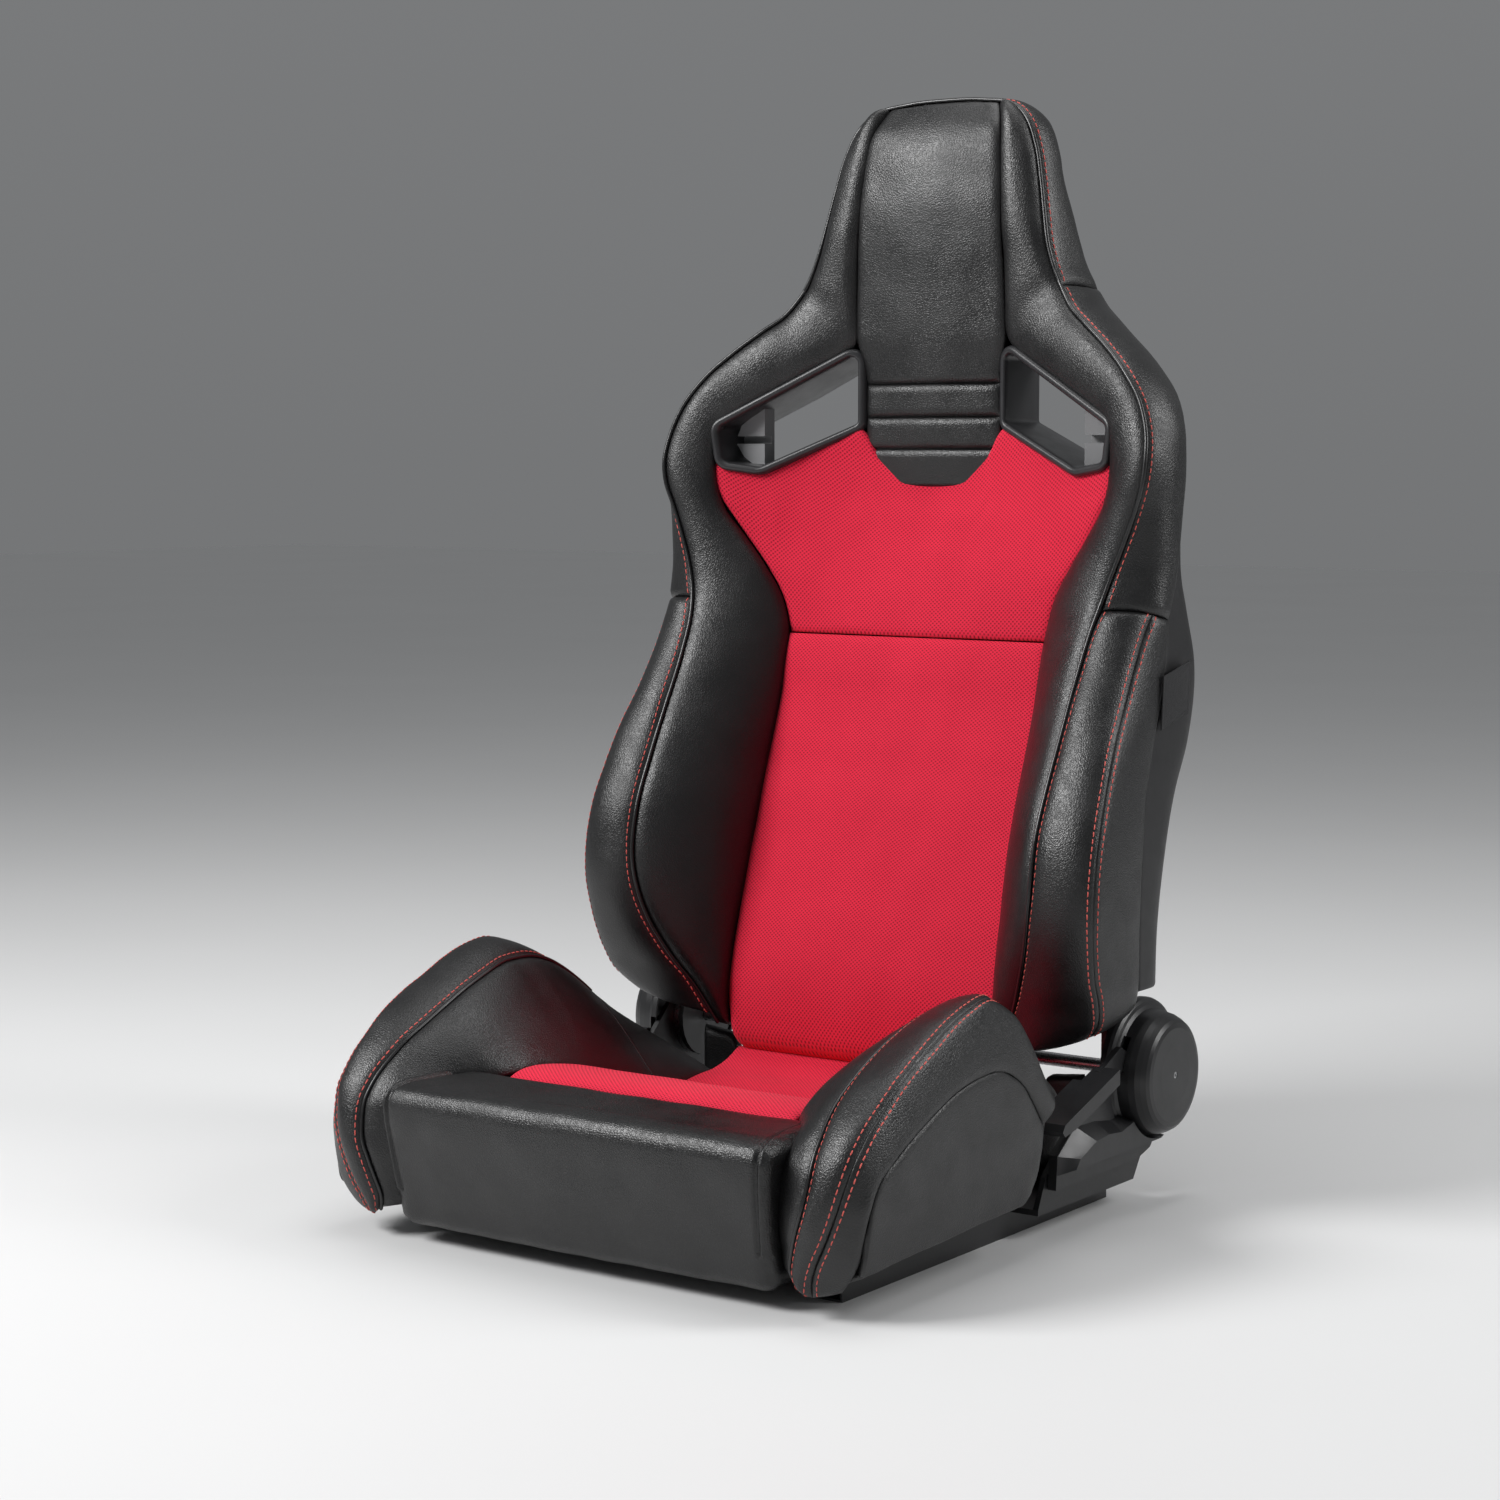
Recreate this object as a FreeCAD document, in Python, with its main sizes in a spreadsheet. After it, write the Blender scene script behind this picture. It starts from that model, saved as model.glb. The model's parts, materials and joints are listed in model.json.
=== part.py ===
"""Reclining racing seat, built as an assembly of separate pieces.

Frame: millimetres, +Z up, the seat faces -Y and +X is the sitter's left side.
The origin is the centre of the four floor bolts, on the underside of the rails.
"""
import FreeCAD, Part
import math
import os

V = FreeCAD.Vector
X_AXIS = V(1, 0, 0)
Y_AXIS = V(0, 1, 0)
Z_AXIS = V(0, 0, 1)
SIDES = (("left", 1), ("right", -1))

doc = FreeCAD.newDocument("racing_seat")

# ---------------------------------------------------------------- driving dimensions
SIZES = (
    ("bolt_span_x", 400), ("bolt_span_y", 290), ("bolt_bore", 4), ("boss_radius", 9),
    ("rail_width", 30), ("rail_height", 20), ("rail_wall", 2), ("rail_front", -180), ("rail_rear", 236),
    ("tube_radius", 11), ("tube_wall", 2), ("bar_radius", 9), ("wire_radius", 1.75),
    ("frame_half_width", 204), ("frame_front", -165), ("hoop_half_width", 213.5),
    ("pivot_y", 243), ("pivot_z", 115), ("shaft_radius", 6),
    ("arm_x", 225), ("plate_thickness", 5), ("ring_depth", 6), ("bracket_x", 236.5),
    ("ring_outer", 38), ("tooth_root", 31.5), ("tooth_tip", 29.5), ("tooth_count", 72),
    ("pawl_width", 16), ("pawl_clearance", 0.4), ("pawl_travel", 2.5), ("cam_radius", 9.5),
    ("cap_radius", 47.5), ("cap_flange", 64.5), ("cap_face_x", 278), ("cap_inner_x", 238), ("cover_wall", 2.5),
    ("lever_offset", 8.7), ("lever_travel", 12),
    ("insert_half_width", 145), ("cushion_half_width", 264), ("panel_thickness", 6), ("cushion_base_z", 53),
    ("pad_thickness", 18), ("gusset_thickness", 12), ("shell_thickness", 3), ("gap", 0.5),
    ("bezel_rim", 7), ("bezel_wall", 3),
)
sheet = doc.addObject("Spreadsheet::Sheet", "sizes")
for row, (alias, value) in enumerate(SIZES, 1):
    sheet.set("A%d" % row, alias)
    sheet.set("B%d" % row, str(value))
    sheet.setAlias("B%d" % row, alias)
doc.recompute()


def size(alias):
    """Value of one cell of the sheet."""
    return float(sheet.get(alias))


nodes = []


def publish(item, label):
    """Name a finished sub-part; its label names its file."""
    item.Label = label
    nodes.append(item)
    return item


def feature(label, shape):
    """A sub-part whose shape is worked out here from the sheet's sizes."""
    item = doc.addObject("Part::Feature", label)
    item.Shape = shape
    item.Placement = FreeCAD.Placement()
    return publish(item, label)


def bind(item, **expressions):
    """Tie properties to the sheet; a double underscore stands for a dot."""
    for name, expression in expressions.items():
        item.setExpression(name.replace("__", "."), expression)
    return item


# ---------------------------------------------------------------- shape helpers
def mirrored(shape):
    return shape.mirror(V(0, 0, 0), X_AXIS)


def polygon(points):
    return Part.makePolygon(points + points[:1])


def level(z, points):
    """Closed outline in the horizontal plane at height z, from (x, y) corners."""
    return polygon([V(x, y, z) for x, y in points])


def slice_at(y, points):
    """Closed outline in the upright plane at depth y, from (x, z) corners."""
    return polygon([V(x, y, z) for x, z in points])


def ruled_loft(outlines):
    return Part.makeLoft(outlines, True, True)


def prism(points, start, end):
    """Outline of (x, z) corners, carried along Y from start to end."""
    face = Part.Face(slice_at(start, points))
    return face.extrude(V(0, end - start, 0))


def side_prism(points, start, end):
    """Outline of (y, z) corners, carried along X from start to end."""
    face = Part.Face(polygon([V(start, y, z) for y, z in points]))
    return face.extrude(V(end - start, 0, 0))


def cylinder_x(radius, start, end, y, z):
    return Part.makeCylinder(radius, end - start, V(start, y, z), X_AXIS)


def bent_path(points, radius):
    """Straight runs through the points, joined by tangent arcs."""
    edges = []
    start = points[0]
    for before, corner, after in zip(points, points[1:], points[2:]):
        arriving = (corner - before).normalize()
        leaving = (after - corner).normalize()
        turn = arriving.getAngle(leaving)
        trim = radius * math.tan(turn / 2)
        inward = (leaving - arriving).normalize()
        middle = corner + inward * (radius / math.cos(turn / 2) - radius)
        arc_start = corner - arriving * trim
        arc_end = corner + leaving * trim
        edges.append(Part.LineSegment(start, arc_start).toShape())
        edges.append(Part.Arc(arc_start, middle, arc_end).toShape())
        start = arc_end
    edges.append(Part.LineSegment(start, points[-1]).toShape())
    return Part.Wire(edges)


def rod_along(path, radius):
    """Round solid bar swept along a path."""
    first = path.Edges[0]
    heading = first.tangentAt(first.FirstParameter)
    circle = Part.makeCircle(radius, path.Vertexes[0].Point, heading)
    return path.makePipeShell([Part.Wire([circle])], True, True)


def tube_along(points, bend_radius):
    """Steel tube of the frame's section through the points."""
    path = bent_path(points, bend_radius)
    outer = rod_along(path, size("tube_radius"))
    bore = rod_along(path, size("tube_radius") - size("tube_wall"))
    return outer.cut(bore), outer


def both_sides(points):
    """A route given for the left side, continued over to the right side."""
    return points + [V(-p.x, p.y, p.z) for p in reversed(points)]


# ---------------------------------------------------------------- floor rails and bosses
def make_rails():
    """Rectangular steel tubes that carry the seat, bored for the threaded bosses."""
    half_x = size("bolt_span_x") / 2
    for side, sign in SIDES:
        tube = doc.addObject("Part::Box", "rail_%s_tube" % side)
        bind(tube, Length="sizes.rail_width", Width="sizes.rail_rear - sizes.rail_front",
             Height="sizes.rail_height", Placement__Base__y="sizes.rail_front",
             Placement__Base__x="%g * sizes.bolt_span_x / 2 - sizes.rail_width / 2" % sign)
        hollow = doc.addObject("Part::Box", "rail_%s_hollow" % side)
        bind(hollow, Length="sizes.rail_width - 2 * sizes.rail_wall",
             Width="sizes.rail_rear - sizes.rail_front", Height="sizes.rail_height - 2 * sizes.rail_wall",
             Placement__Base__x="%g * sizes.bolt_span_x / 2 - sizes.rail_width / 2 + sizes.rail_wall" % sign,
             Placement__Base__y="sizes.rail_front", Placement__Base__z="sizes.rail_wall")
        bores = []
        for end, along in (("front", -1), ("rear", 1)):
            bore = doc.addObject("Part::Cylinder", "rail_%s_bore_%s" % (side, end))
            bind(bore, Radius="sizes.boss_radius", Height="sizes.rail_height",
                 Placement__Base__x="%g * sizes.bolt_span_x / 2" % sign,
                 Placement__Base__y="%g * sizes.bolt_span_y / 2" % along)
            bores.append(bore)
        removed = doc.addObject("Part::MultiFuse", "rail_%s_removed" % side)
        removed.Shapes = [hollow] + bores
        rail = doc.addObject("Part::Cut", "seat_rail_%s" % side)
        rail.Base = tube
        rail.Tool = removed
        publish(rail, "seat_rail_%s" % side)
    bosses = []
    for sign_x in (1, -1):
        for sign_y in (1, -1):
            base = V(sign_x * half_x, sign_y * size("bolt_span_y") / 2, 0)
            boss = Part.makeCylinder(size("boss_radius"), size("rail_height"), base, Z_AXIS)
            bosses.append(boss.cut(Part.makeCylinder(size("bolt_bore"), size("rail_height"), base, Z_AXIS)))
    feature("mount_bosses", Part.makeCompound(bosses))


# ---------------------------------------------------------------- cushion frame and springs
def spring_wire(start, end, across, waves, amplitude):
    """Zigzag spring: straight legs across the run, joined by half-round ends."""
    run = end - start
    heading = V(run).normalize()
    pitch = run.Length / (waves + 1)
    radius = pitch / 2
    leg = amplitude - radius
    edges = []
    at = V(start)
    sign = 1
    edges.append(Part.LineSegment(at, at + heading * radius).toShape())
    at = at + heading * radius
    edges.append(Part.LineSegment(at, at + across * leg).toShape())
    at = at + across * leg
    for wave in range(waves):
        arc_end = at + heading * pitch
        top = at + heading * radius + across * (sign * radius)
        edges.append(Part.Arc(at, top, arc_end).toShape())
        at = arc_end
        travel = 2 * leg if wave < waves - 1 else leg
        edges.append(Part.LineSegment(at, at - across * (sign * travel)).toShape())
        at = at - across * (sign * travel)
        sign = -sign
    edges.append(Part.LineSegment(at, at + heading * radius).toShape())
    path = Part.Wire(edges)
    circle = Part.makeCircle(size("wire_radius"), start, heading)
    return path.makePipeShell([Part.Wire([circle])], True, False, 1)


def make_cushion_frame():
    """U-shaped tube on the rails, a rear cross tube, zigzag springs, clips and the liner."""
    tube_z = size("rail_height") + size("tube_radius")
    rear_leg_y = 62
    corner_radius = 45
    half = size("frame_half_width")
    route = both_sides([V(half, rear_leg_y, tube_z), V(half, size("frame_front"), tube_z)])
    frame, _ = tube_along(route, corner_radius)
    feature("cushion_frame_tube", frame)

    cross_y = 165
    reach = size("bracket_x") - size("gap") / 5
    cross_z = tube_z + 5
    cross = cylinder_x(size("tube_radius"), -reach, reach, cross_y, cross_z)
    cross = cross.cut(cylinder_x(size("tube_radius") - size("tube_wall"), -reach, reach, cross_y, cross_z))
    feature("rear_cross_tube", cross)

    spring_z = cross_z + size("tube_radius") + size("wire_radius") + 1
    front_y = size("frame_front")
    clips = []
    for number, x in enumerate((-95, 0, 95), 1):
        wire = spring_wire(V(x, front_y, spring_z), V(x, cross_y, spring_z), X_AXIS, 8, 24)
        feature("seat_spring_%d" % number, wire)
        for y, tube_centre in ((front_y, tube_z), (cross_y, cross_z)):
            low = tube_centre + size("tube_radius")
            clips.append(Part.makeBox(12, 9, spring_z - size("wire_radius") - low, V(x - 6, y - 4.5, low)))
    feature("seat_spring_clips", Part.makeCompound(clips))
    liner = doc.addObject("Part::Box", "seat_underliner")
    liner.Placement.Base = V(-182, -150, 21)
    liner.Height = 1.5
    bind(liner, Length="sizes.bolt_span_x - sizes.rail_width - 6", Width="sizes.bolt_span_y")
    publish(liner, "seat_underliner")


# ---------------------------------------------------------------- cushion pads
# Height of the cushion bolster's inner and outer seams at each depth, front to rear.
THIGH_ROWS = (
    (-243, 90, 80), (-236, 114, 102), (-221, 134, 131), (-194, 156, 158), (-150, 180, 187),
    (-100, 195, 210), (-50, 206, 221), (-8, 201, 200), (13, 191, 172), (38, 176, 141), (57, 163, 124),
)
INSERT_TOP = ((-146, 132), (-100, 131), (-51, 121), (34, 95), (87, 83), (140, 87), (168, 96))


def insert_top_at(y):
    """Height of the red insert's surface at depth y."""
    for (y0, z0), (y1, z1) in zip(INSERT_TOP, INSERT_TOP[1:]):
        if y <= y1:
            share = max(0.0, (y - y0) / (y1 - y0))
            return z0 + share * (z1 - z0)
    return INSERT_TOP[-1][1]


def make_cushion():
    """Front roll, red insert with its foam, thigh bolsters and their side panels."""
    half = size("insert_half_width")
    base_z = size("cushion_base_z")
    foam_top = size("pad_thickness")
    front = [(-252, 124), (-247, 131), (-238, 133), (-147, 130), (-147, base_z), (-182, base_z), (-182, 15),
             (-222, 15), (-234, 19)]
    roll = side_prism(front, -190, 190)
    feature("cushion_front_roll", roll)

    slices = []
    cores = []
    for y, z in INSERT_TOP:
        edge = half - size("gap")
        slices.append(slice_at(y, [(-edge, z), (edge, z), (edge, z - foam_top), (-edge, z - foam_top)]))
        under = z - foam_top - size("gap")
        cores.append(slice_at(y, [(-edge, under), (edge, under), (edge, base_z + 4), (-edge, base_z + 4)]))
    feature("cushion_insert", ruled_loft(slices))
    feature("cushion_foam", ruled_loft(cores))

    outer = size("cushion_half_width")
    bed_depth = 9
    slices = []
    for y, inner_z, outer_z in THIGH_ROWS[:5]:
        low = 34 if y < -200 else base_z - bed_depth
        slices.append(slice_at(y, [(191, low), (191, max(min(inner_z - 12, 120), low + 20)), (219, inner_z),
                                   (outer - 4, outer_z), (outer, outer_z - 10), (outer, low)]))
    front_part = ruled_loft(slices)
    toe_y = -146.5
    rear_slices = []
    for y, inner_z, outer_z in THIGH_ROWS[4:]:
        y = max(y, toe_y)
        low = base_z - bed_depth
        shelf = insert_top_at(y) - 1
        rear_slices.append(slice_at(y, [(half, low), (half, shelf), (219, inner_z), (outer - 4, outer_z),
                                        (outer, outer_z - 10), (outer, low)]))
    bridge = Part.makeLoft([slices[4], slice_at(toe_y, [(191, base_z - bed_depth), (191, 120), (219, 181.5),
                            (outer - 4, 188.5), (outer, 178.5), (outer, base_z - bed_depth)])], True, True)
    tail_rows = ((57, 163), (109, 132), (146, 109))
    tail = []
    for y, inner_z in tail_rows:
        shelf = insert_top_at(y) - 1
        tail.append(slice_at(y, [(half, base_z - bed_depth), (half, shelf), (217, inner_z), (221, inner_z - 6),
                                 (221, base_z - bed_depth)]))
    bolster = front_part.fuse([bridge, ruled_loft(rear_slices), ruled_loft(tail)]).removeSplitter()
    tube_z = size("rail_height") + size("tube_radius")
    bed = Part.makeBox(2 * size("tube_radius") + 4, 250, 60,
                       V(size("frame_half_width") - size("tube_radius") - 2, -188, tube_z - 48))
    bolster = bolster.cut(bed)

    arc = Part.Arc(V(outer + 1, -225, 86), V(outer + 1, -84, 160), V(outer + 1, 34, 106)).toShape()
    corners = [V(outer + 1, y, z) for y, z in ((34, 106), (28, 62), (7, 46), (-181, 41), (-225, 37), (-225, 86))]
    skirt = Part.Face(Part.Wire([arc] + [Part.LineSegment(a, b).toShape() for a, b in zip(corners, corners[1:])]))
    skirt = skirt.extrude(V(size("panel_thickness"), 0, 0))
    for side, sign in SIDES:
        feature("thigh_bolster_%s" % side, bolster if sign > 0 else mirrored(bolster))
        feature("thigh_side_panel_%s" % side, skirt if sign > 0 else mirrored(skirt))


# ---------------------------------------------------------------- recliner plates (PartDesign)
def origin_plane(body, role):
    for plane in body.Origin.OriginFeatures:
        if plane.Role == role:
            return plane
    raise ValueError(role)


def plate_body(name, x_cell, outline, thickness_cell="plate_thickness", holes=()):
    """Flat plate in an upright fore-and-aft plane: outline of (y, z) corners and round holes."""
    body = doc.addObject("PartDesign::Body", name)
    body.setExpression("Placement.Base.x", x_cell)
    sketch = body.newObject("Sketcher::SketchObject", name + "_outline")
    sketch.AttachmentSupport = (origin_plane(body, "YZ_Plane"), [""])
    sketch.MapMode = "FlatFace"
    corners = [V(y, z, 0) for y, z in outline]
    for a, b in zip(corners, corners[1:] + corners[:1]):
        sketch.addGeometry(Part.LineSegment(a, b), False)
    for y, z, radius in holes:
        sketch.addGeometry(Part.Circle(V(y, z, 0), Z_AXIS, radius), False)
    pad = body.newObject("PartDesign::Pad", name + "_pad")
    pad.Profile = sketch
    pad.setExpression("Length", "sizes.%s" % thickness_cell)
    body.Tip = pad
    return body


def round_corner(centre, radius, start_deg, end_deg, steps=8):
    """Corners along an arc, as (y, z), angle measured from +Y towards +Z."""
    corners = []
    for step in range(steps + 1):
        angle = math.radians(start_deg + (end_deg - start_deg) * step / steps)
        corners.append((centre[0] + radius * math.cos(angle), centre[1] + radius * math.sin(angle)))
    return corners


def make_recliners():
    """Each side: bracket on the rail, guide disc, toothed ring on the arm, and a spiral spring."""
    pivot = (size("pivot_y"), size("pivot_z"))
    thickness = size("plate_thickness")
    foot_z = size("rail_height")
    bracket_outline = round_corner(pivot, 42, -38, 128, 12)
    bracket_outline += [(150, 84), (112, 74), (84, 50), (72, foot_z + thickness), (72, foot_z), (236, foot_z),
                        (250, 40), (262, 62)]
    arm_outline = round_corner(pivot, 39, -198, 18, 16)
    arm_outline += [(248, 158), (232, 188), (230, 258), (208, 258), (205, 210), (206, 160)]
    bolt_ys = (90, 215)
    bolts = []
    for side, sign in SIDES:
        x_sign = "" if sign > 0 else "-"
        extra = "" if sign > 0 else " - sizes.plate_thickness"
        bracket = plate_body("recliner_bracket_plate_%s" % side, "%ssizes.bracket_x%s" % (x_sign, extra),
                             bracket_outline, holes=[(*pivot, size("shaft_radius") + 0.5)])
        doc.recompute()
        reach = size("bracket_x")
        foot = Part.makeBox(reach - 186, 164, thickness, V(186, 72, foot_z))
        for y in bolt_ys:
            foot = foot.cut(Part.makeCylinder(4.2, thickness, V(200, y, foot_z), Z_AXIS))
            head_z = foot_z + thickness
            bolt = Part.makeCylinder(6.5, 5, V(sign * 200, y, head_z), Z_AXIS)
            bolts.append(bolt.cut(Part.makeCylinder(3, 2.5, V(sign * 200, y, head_z + 2.5), Z_AXIS)))
        foot = foot if sign > 0 else mirrored(foot)
        feature("recliner_bracket_%s" % side, bracket.Shape.fuse(foot).removeSplitter())
        arm = plate_body("recliner_arm_%s" % side, "%ssizes.arm_x%s" % (x_sign, extra), arm_outline,
                         holes=[(*pivot, size("shaft_radius") + 0.5)])
        publish(arm, "recliner_arm_%s" % side)

        ring_x = size("arm_x") + thickness
        ring = cylinder_x(size("ring_outer"), ring_x, ring_x + size("ring_depth"), *pivot)
        ring = ring.cut(tooth_cutter(ring_x, pivot))
        feature("recliner_ring_%s" % side, ring if sign > 0 else mirrored(ring))

        guide = cylinder_x(size("tooth_tip") - 1, ring_x + size("pawl_clearance"), size("bracket_x"), *pivot)
        slot = size("pawl_width") + 2 * size("pawl_clearance")
        channel = Part.makeBox(20, slot, 80, V(ring_x, pivot[0] - slot / 2, pivot[1] - 40))
        guide = guide.cut(channel).cut(cylinder_x(size("cam_radius") + 2, ring_x, ring_x + 20, *pivot))
        feature("recliner_guide_%s" % side, guide if sign > 0 else mirrored(guide))

        spring = spiral_spring(pivot, size("bracket_x") + thickness + 0.6)
        feature("recline_spring_%s" % side, spring if sign > 0 else mirrored(spring))
    feature("bracket_bolts", Part.makeCompound(bolts))


def tooth_cutter(start_x, pivot):
    """Star-shaped bore of the toothed ring."""
    count = int(size("tooth_count"))
    corners = []
    for tooth in range(count):
        for radius, share in ((size("tooth_root"), 0.0), (size("tooth_tip"), 0.5)):
            angle = 2 * math.pi * (tooth + share) / count
            corners.append((pivot[0] + radius * math.cos(angle), pivot[1] + radius * math.sin(angle)))
    return side_prism(corners, start_x - 1, start_x + size("ring_depth") + 1)


def spiral_spring(pivot, start_x):
    """Flat spiral return spring, hooked on its bracket side."""
    turns = 3
    inner, outer = 13.0, 34.0
    strip, width = 1.6, 4.0
    steps = 24 * turns
    near = []
    far = []
    for step in range(steps + 1):
        angle = 2 * math.pi * turns * step / steps
        radius = inner + (outer - inner) * step / steps
        near.append((pivot[0] + radius * math.cos(angle), pivot[1] + radius * math.sin(angle)))
        radius += strip
        far.append((pivot[0] + radius * math.cos(angle), pivot[1] + radius * math.sin(angle)))
    return side_prism(near + far[::-1], start_x, start_x + width)


def make_recliner_covers():
    """Stepped round cap over each recliner, and the moulded trim that runs down from it."""
    pivot = (size("pivot_y"), size("pivot_z"))
    wall, face, inner = size("cover_wall"), size("cap_face_x"), size("cap_inner_x")
    cap, flange = size("cap_radius"), size("cap_flange")
    outside = [(inner, flange), (inner + 5, flange), (inner + 8, flange - 1.2), (inner + 9.8, flange - 3.5),
               (inner + 10.6, flange - 6.5), (inner + 12.5, cap + 7.5), (inner + 22, cap + 6.3),
               (inner + 28, cap + 5), (inner + 32.5, cap + 3), (inner + 36.5, cap + 0.5), (inner + 38.6, cap - 2.5),
               (face - 0.6, cap - 6.5), (face - 0.1, cap - 22), (face, 0)]
    inside = [(face - wall, 0), (face - wall, cap - 22), (face - wall - 0.6, cap - 8), (face - wall - 3, cap - 4),
              (face - wall - 6, cap - 1), (inner + 24, cap + 3), (inner + 11.5, cap + 4.5), (inner + 8, flange - 9),
              (inner + 7, flange - wall - 2.5), (inner + 5.5, flange - wall), (inner, flange - wall)]
    wire = polygon([V(x, pivot[0] + radius, pivot[1]) for x, radius in outside + inside])
    cover = Part.Face(wire).revolve(V(0, *pivot), X_AXIS, 360)
    cover = cover if cover.Volume > 0 else cover.reversed()
    cover = cover.cut(cylinder_x(3, face - 10, face + 1, *pivot))

    near = size("bracket_x") + size("plate_thickness") + 0.7
    step_x, top_x = near + 8, near + 20
    under_cap = [(197, 67), (262, 67), (259, 57), (250, 47), (228, 41)]
    base_outline = [(86, 40), (88, 69), (118, 90), (150, 104), (172, 110.5)]
    base_outline += round_corner(pivot, flange + 0.8, 185, 222, 6) + under_cap
    trim = side_prism(base_outline, near, step_x)
    cavity = Part.Face(polygon([V(near - 1, y, z) for y, z in base_outline])).makeOffset2D(-wall)
    trim = trim.cut(cavity.extrude(V(step_x - wall - near + 1, 0, 0)))
    rim = cap + 9.4
    foot = [(87.5, 52), (88, 68.5), (117.5, 89), (150, 88), (177, 84)]
    foot += round_corner(pivot, rim, 212, 282, 10) + [(249, 54.4), (173, 53.5)]
    top = [(99, 57), (106, 65), (133, 75), (155, 77), (177, 75)]
    top += round_corner(pivot, rim, 218, 280, 10) + [(248, 56.9), (173, 56.5)]
    plateau = ruled_loft([polygon([V(step_x - 0.5, y, z) for y, z in foot]),
                          polygon([V(top_x, y, z) for y, z in top])])
    trim = trim.fuse(plateau).removeSplitter()
    cover = cover.cut(side_prism([(170, 30), (172, 90), (197, 68), (262, 68), (290, 92), (310, 30)],
                                 inner - 1, step_x + 0.4))

    cover = cover.cut(Part.makeBox(6.4, 100, 80, V(inner - 0.5, pivot[0] - 80, pivot[1] - 75)))
    lever_room = Part.Face(polygon([V(lever_x() - 0.6, y, z) for y, z in lever_outline()])).makeOffset2D(1)
    lever_room = lever_room.extrude(V(size("plate_thickness") + 1.2, 0, 0))
    open_cover = cover
    for step in range(5):
        swung = lever_room.copy()
        swung.rotate(V(0, *pivot), X_AXIS, -size("lever_travel") * step / 4 * 1.08)
        open_cover = open_cover.cut(swung)
    screws = []
    for side, sign in SIDES:
        own = open_cover if sign > 0 else mirrored(cover)
        feature("recliner_cap_%s" % side, own)
        feature("recliner_trim_%s" % side, trim if sign > 0 else mirrored(trim))
        screw = cylinder_x(2.9, face - 9, face - 0.4, *pivot)
        screw = screw.cut(cylinder_x(1.5, face - 2.4, face, *pivot))
        screws.append(screw if sign > 0 else mirrored(screw))
    feature("cap_screws", Part.makeCompound(screws))


# ---------------------------------------------------------------- release lever, shaft and pawls
def lever_x():
    """Inner face of the lever plate, just outside the cap's flange."""
    return size("bracket_x") + size("plate_thickness") + size("lever_offset")


def lever_outline():
    """Lever plate from its hub to the grip, as (y, z)."""
    hub = round_corner((size("pivot_y"), size("pivot_z")), 13, -80, 150, 10)
    return hub + [(186, 146), (160, 134), (150, 131), (150, 120), (166, 122), (190, 124), (215, 104)]


def make_release():
    """Cross shaft through both recliners with its cams, the lever on its left end, and the pawls."""
    pivot = (size("pivot_y"), size("pivot_z"))
    end = lever_x() + size("plate_thickness")
    shaft = doc.addObject("Part::Cylinder", "release_shaft")
    bind(shaft, Radius="sizes.shaft_radius")
    shaft.Height = end + size("bracket_x") + size("plate_thickness") + 3
    turn = FreeCAD.Rotation(Y_AXIS, 90)
    shaft.Placement = FreeCAD.Placement(V(end - float(shaft.Height), *pivot), turn)
    publish(shaft, "release_shaft")

    ring_x = size("arm_x") + size("plate_thickness")
    cam = cylinder_x(size("cam_radius"), ring_x + 0.6, size("bracket_x") - 0.4, *pivot)
    cam = cam.cut(cylinder_x(size("shaft_radius"), ring_x, ring_x + 10, *pivot))
    feature("release_cams", Part.makeCompound([cam, mirrored(cam)]))

    arm = plate_body("lever_plate", "sizes.bracket_x + sizes.plate_thickness + sizes.lever_offset",
                     lever_outline(), holes=[(*pivot, size("shaft_radius"))])
    publish(arm, "lever_plate")

    top = [(158, 133), (120, 120), (80, 106.5), (66, 101.5)]
    low = [(62, 96), (66, 91.5), (84, 95), (124, 108), (158, 120)]
    grip = side_prism(top + low, 246, 270)
    paddle = side_prism([(134, 125), *top[1:], *low[:4], (134, 111.5)], 238, 247)
    grip = grip.fuse(paddle).removeSplitter()
    grip = grip.cut(Part.makeBox(5.1, 20, 20, V(lever_x() - 0.05, 149, 115)))
    feature("lever_grip", grip)

    half = size("pawl_width") / 2
    tip = size("tooth_tip") - size("gap")
    start = size("cam_radius") + size("pawl_travel") + size("gap")
    pawl = Part.makeBox(size("ring_depth") - 1, 2 * half, tip - start, V(ring_x + 0.6, pivot[0] - half,
                                                                    pivot[1] + start))
    pawl = pawl.common(cylinder_x(tip, ring_x, ring_x + 10, *pivot))
    lower = pawl.mirror(V(0, 0, pivot[1]), Z_AXIS)
    feature("pawls_upper", Part.makeCompound([pawl, mirrored(pawl)]))
    feature("pawls_lower", Part.makeCompound([lower, mirrored(lower)]))


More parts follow.
